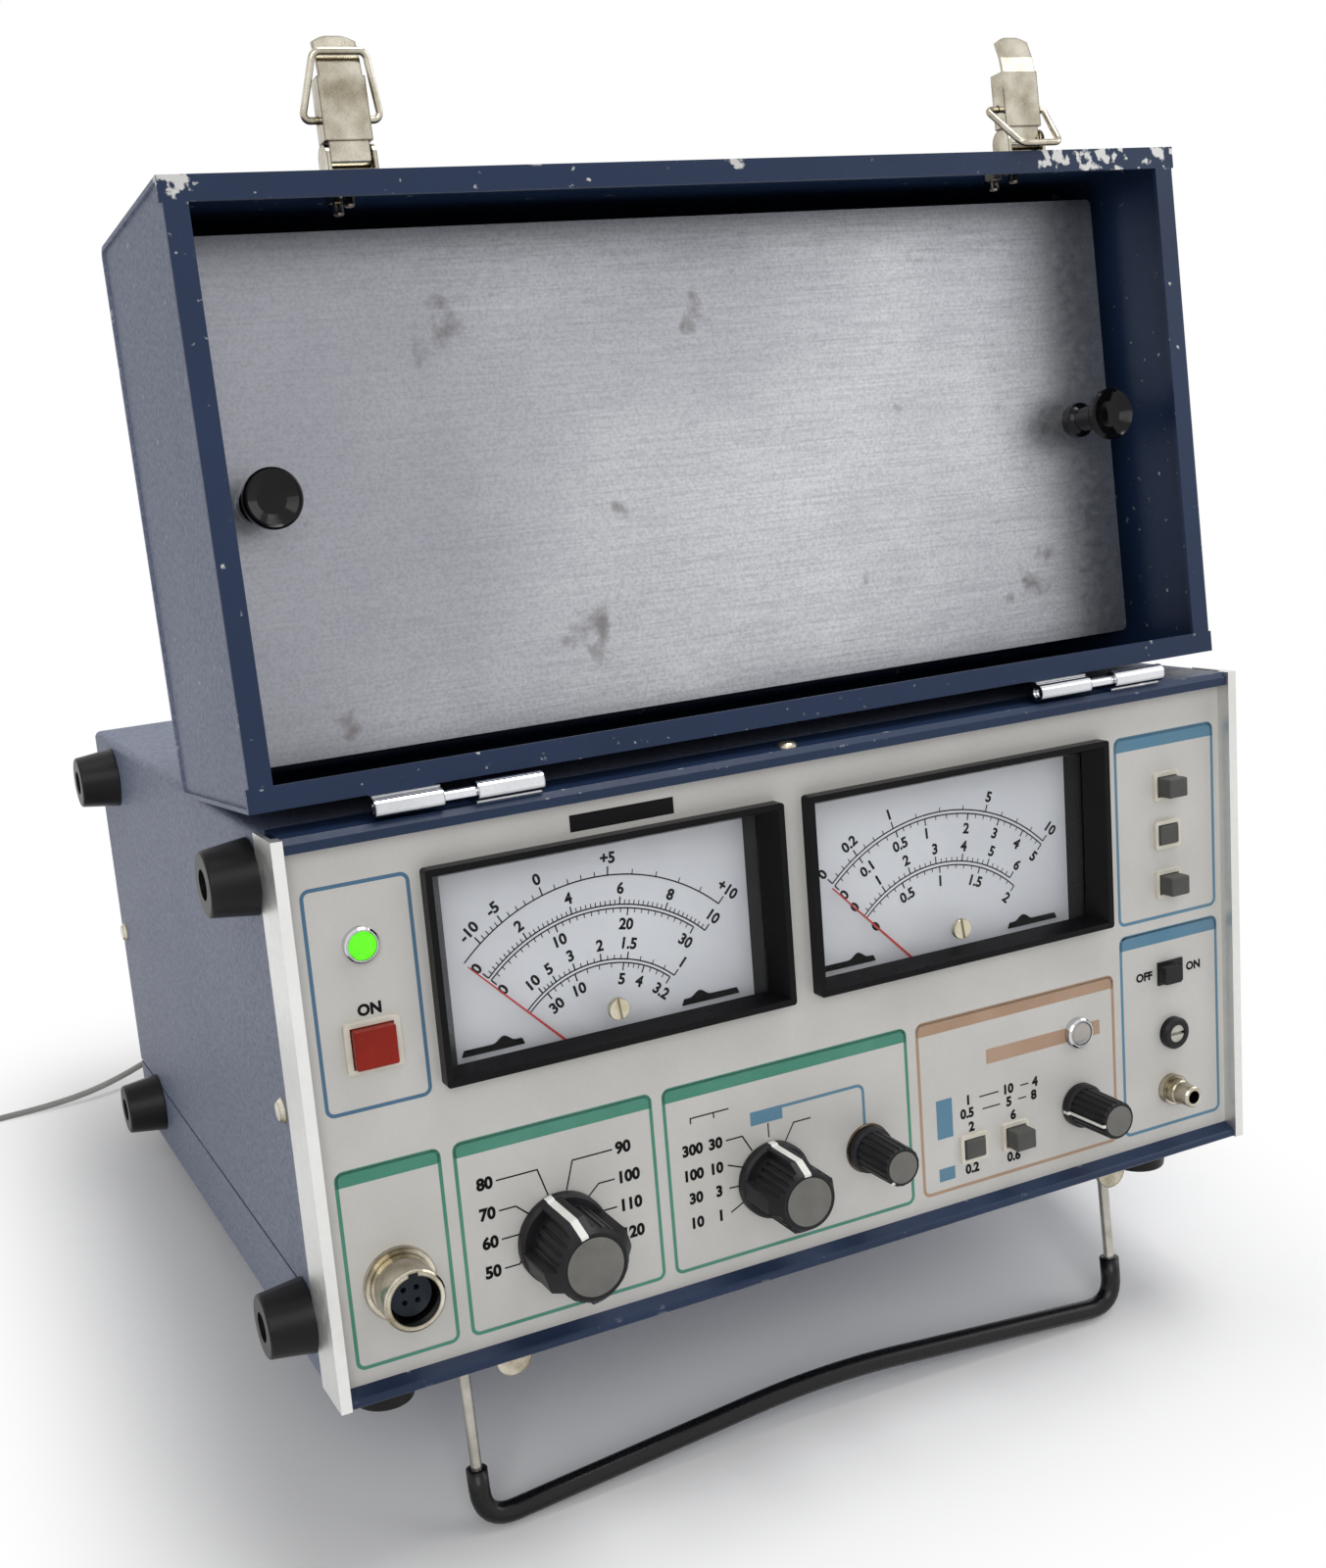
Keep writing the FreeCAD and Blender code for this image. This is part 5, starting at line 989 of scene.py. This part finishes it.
def slotted_head():
    """A disc as columns across x: z runs to +-sqrt(r^2 - x^2), and the height is HEAD_TALL beside the slot
    and SLOT_DEPTH less in it; the outer rows drop to 0 and close the rim."""
    beside = HEAD_RADIUS * np.sin(np.linspace(math.asin(SLOT / 2 / HEAD_RADIUS), math.pi / 2, BESIDE))
    x = np.concatenate([-beside[::-1], [-SLOT / 2, SLOT / 2], beside])
    height = np.full(len(x), HEAD_TALL)
    height[BESIDE:BESIDE + 2] -= SLOT_DEPTH
    reach = np.sqrt(np.clip(HEAD_RADIUS ** 2 - x ** 2, 0, None))
    rows = ((-1, 0.0), (-1, 0.85), (-0.95, 1.0), (0.95, 1.0), (1, 0.85), (1, 0.0))
    return np.stack([np.stack([x, -share * height, way * reach], -1) for way, share in rows])


head = slotted_head()
turn = np.array([[math.cos(SLOT_LEAN), 0, math.sin(SLOT_LEAN)], [0, 1, 0],
                 [-math.sin(SLOT_LEAN), 0, math.cos(SLOT_LEAN)]])
for side in ("left", "right"):
    centre = np.array([spot_of("zero_turn_" + side)[0], WINDOW_Y, ZERO_Z])
    screw = piece_from("zero_screw_" + side, on_case((head @ turn.T + centre).reshape(-1, 3)),
                       grid_faces(*head.shape[:2]), screw_plate, "adjuster_" + side)
    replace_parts(weld(screw), "zero_adjuster_" + side)
    print("zero screw at", np.round(centre, 2))

# %% [markdown]
# A few small fasteners finish the metalwork: the bronze nut under the smaller
# middle knob, the nuts of the latch screws inside the lid's free wall, and a
# pan-head screw in the middle of the top rail. All are spun profiles, and the
# latch nuts are spun with six sides only, which makes them hexagons.

# %% Small fasteners
RAIL_SCREW_AT = (146.0, 6.0, 148.5)
NUT_X, NUT_DEPTHS = 49.2, (11.0, 20.0)
LID_TOP = lid_high[2] / MM - 1.2
points, faces = spun(on_case, (SET_X, PANEL_Y, SET_Z), TOWARDS_VIEWER,
                     [(7.3, 0.0), (7.3, 0.4), (7.15, 0.6), (6.95, 0.6), (6.95, 0.0)])
piece_from("set_knob_nut", points, faces, plain["bronze_nut"], "case")
nut_points, nut_faces, count = [], [], 0
for x in (NUT_X, CASE_W - NUT_X):
    for depth_in in NUT_DEPTHS:
        for sides, profile in ((6, [(2.9, 0.0), (2.9, 2.2), (1.6, 2.4)]),
                               (16, [(1.5, 2.0), (1.5, 4.6), (1.1, 5.0), (0.0, 5.0)])):
            points, faces = spun(on_lid, (x, depth_in, LID_TOP), HANGING, profile, sides)
            nut_points.append(points)
            nut_faces.append(faces + count)
            count += len(points)
weld(piece_from("latch_nuts", np.concatenate(nut_points), np.concatenate(nut_faces), nickel, "lid"))
points, faces = spun(on_case, RAIL_SCREW_AT, UPRIGHT,
                     [(2.7, 0.0), (2.6, 0.7), (2.0, 1.15), (0.9, 1.3), (0.0, 1.3)], 32)
weld(piece_from("rail_screw", points, faces, screw_plate, "case"))
print(count, "points in the latch nuts")

# %% [markdown]
# The wire stand has been bent in use: its front bar rises to a kink near the
# middle, and its black sleeve is thicker than the CAD one. A curve with a
# bevel would do, but a swept grid keeps the sleeve's open ends. Wire and
# sleeve lie in one plane, so the plane's normal serves the whole sweep, and
# only the other axis turns with the path. They stand for the CAD pieces.

# %% Bent stand
LEG_X, PIVOT_Y, PIVOT_Z = 39.8, 20.0, -5.0
WIRE_RADIUS, SLEEVE_RADIUS, SLEEVE_TOP, CAD_SLEEVE_RADIUS = 1.6, 3.0, 33.0, 2.2
WIRE_END, KINK_X, KINK_RISE = 56.0, 152.0, 9.5
TOP_BEND, LOW_BEND, KINK_BEND = 5, 10, 26
BAR_DOWN = np.array([0.0, -3.5, -49.6])
bar_way = unit(BAR_DOWN)


def eased(corners, eases, steps=9):
    """The corners as a smooth path: each inner corner P becomes (1-t)^2 A + 2t(1-t) P + t^2 B, where A
    and B lie on its two sides, ease away from P."""
    t = np.linspace(0, 1, steps)[:, None]
    path = [corners[:1]]
    for before, corner, after, ease in zip(corners, corners[1:], corners[2:], eases):
        a, b = (corner + ease * unit(end - corner) for end in (before, after))
        path.append((1 - t) ** 2 * a + 2 * t * (1 - t) * corner + t ** 2 * b)
    return np.concatenate(path + [corners[-1:]])


def planar_tube(path, normal, radius, bore, turns=20):
    """A tube path + r (cos a s + sin a n), where n is the plane's normal and s = n x tangent; a last row
    at each end has radius bore, and so closes the wall."""
    side = np.cross(normal, unit(np.gradient(path, axis=0)))
    rows = np.r_[0, np.arange(len(path)), len(path) - 1]
    r = np.full(len(rows), radius)
    r[[0, -1]] = bore
    a = np.linspace(0, 2 * np.pi, turns, endpoint=False)[:, None]
    ring = np.cos(a) * side[rows, None] + np.sin(a) * normal
    return (path[rows, None] + r[:, None, None] * ring).reshape(-1, 3), ring_faces(len(rows), turns)


def on_stand(pairs):
    """Case millimetres from (x, distance from the pivot along the legs)."""
    return np.array([(x, PIVOT_Y, PIVOT_Z) + s * bar_way for x, s in pairs])


low = np.linalg.norm(BAR_DOWN) - (SLEEVE_RADIUS - CAD_SLEEVE_RADIUS)
far_x = CASE_W - LEG_X
bar_line = [(LEG_X, low), (KINK_X, low - KINK_RISE), (far_x, low)]
wire = on_stand([(WIRE_END, 0), (LEG_X, 0), *bar_line, (far_x, 0), (CASE_W - WIRE_END, 0)])
sleeve = on_stand([(LEG_X, SLEEVE_TOP), *bar_line, (far_x, SLEEVE_TOP)])
bar_bends = (LOW_BEND, KINK_BEND, LOW_BEND)
for name, path, radius, bore, material, slot, stands_for in (
        ("stand_wire", eased(wire, (TOP_BEND, *bar_bends, TOP_BEND)), WIRE_RADIUS, 0.0, "stand_wire",
         "plated_steel", "stand_bail"),
        ("stand_cover", eased(sleeve, bar_bends), SLEEVE_RADIUS, WIRE_RADIUS, "stand_sleeve_black",
         "black_sleeve", "stand_sleeve")):
    points, faces = planar_tube(path, np.cross((1, 0, 0), bar_way), radius, bore)
    tube = weld(piece_from(name, on_case(points), faces, plain[material], "stand"))
    tube.data.shade_smooth()
    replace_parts(tube, stands_for)
    print(name, len(points), "points for", stands_for)

# %% [markdown]
# The floor is a broad pale sheet. Near the object it is plain matt paper, so
# it takes the soft shadow, and further out it turns to the white of the
# background for the camera, for reflections and through glass, so no horizon
# shows. The world is white for those rays as well, and dimmer as a light, and
# three large soft lamps stand for the room's windows.

# %% Floor and world
FOOTPRINT = (0.15, 0.13, 1.0)  # half the case's width and depth on the floor
FADE, FLOOR_HALF, FLOOR_STEPS, AMBIENT = 0.09, 6.0, 41, 0.3


def seen_rays(tree):
    """1 for the rays that show a background: camera, glossy and transmission rays."""
    path = node(tree, "ShaderNodeLightPath").outputs
    seen = maths(tree, "MAXIMUM", path["Is Camera Ray"], path["Is Glossy Ray"])
    return maths(tree, "MAXIMUM", seen, path["Is Transmission Ray"])


def floor_sheet(across, along):
    """A level sheet: (x, y, 0) with x and y spread by the cube of the parameter, dense in the middle."""
    return np.stack([FLOOR_HALF * across ** 3, FLOOR_HALF * along ** 3, np.zeros_like(across)], -1)


paper, tree, shader, varied = finish("floor_sheet", (250, 250, 250), (247, 247, 247), 2, 0.8, 0.05)
aside = vectors(tree, "SUBTRACT", vectors(tree, "ABSOLUTE", spot(tree))[0], FOOTPRINT)[0]
away = vectors(tree, "LENGTH", vectors(tree, "MAXIMUM", aside)[0])["Value"]
far = maths(tree, "MULTIPLY", spread(tree, away, 0.0, FADE, curve="SMOOTHSTEP"), seen_rays(tree))
white = node(tree, "ShaderNodeEmission", ("Color", (1, 1, 1, 1)), ("Strength", 1.0))
mixed = node(tree, "ShaderNodeMixShader", (0, far), (1, shader.outputs[0]), (2, white.outputs[0]))
feed(tree, tree.nodes["Material Output"], ("Surface", mixed.outputs[0]))
across, along = np.meshgrid(*[np.linspace(-1, 1, FLOOR_STEPS)] * 2)
piece_from("floor_sheet", floor_sheet(across, along), grid_faces(FLOOR_STEPS, FLOOR_STEPS), paper)
world = bpy.data.worlds.new("studio")
bpy.context.scene.world = world
world.use_nodes = True
tree = world.node_tree
feed(tree, tree.nodes["Background"], ("Color", (1, 1, 1, 1)),
     ("Strength", spread(tree, seen_rays(tree), 0.0, 1.0, AMBIENT, 1.0)))
print("floor of", 2 * FLOOR_HALF, "m and a white world")

# %% Lamps
LAMPS = (("front_window", (-0.9, -1.7, 1.5), (0, 0, 0.15), 1.4, 16.5),
         ("right_window", (1.7, -0.6, 1.2), (0, 0, 0.15), 1.2, 8),
         ("ceiling", (0.45, 0.05, 1.9), (0, 0, 0), 0.9, 16))  # place, aim, size and power
for name, place, aim, size, power in LAMPS:
    data = bpy.data.lights.new(name, "AREA")
    data.size = size
    data.energy = power
    back = unit(np.subtract(place, aim))
    sideways = unit(np.cross((0, 0, 1), back))
    turn = np.eye(4)
    turn[:3] = np.column_stack([sideways, np.cross(back, sideways), back, place])
    placed(name, data).matrix_world = Matrix(turn.tolist())
bpy.context.scene.view_settings.view_transform = "Standard"
print(len(LAMPS), "lamps set")

# %% [markdown]

# %% Last update
bpy.context.view_layer.update()
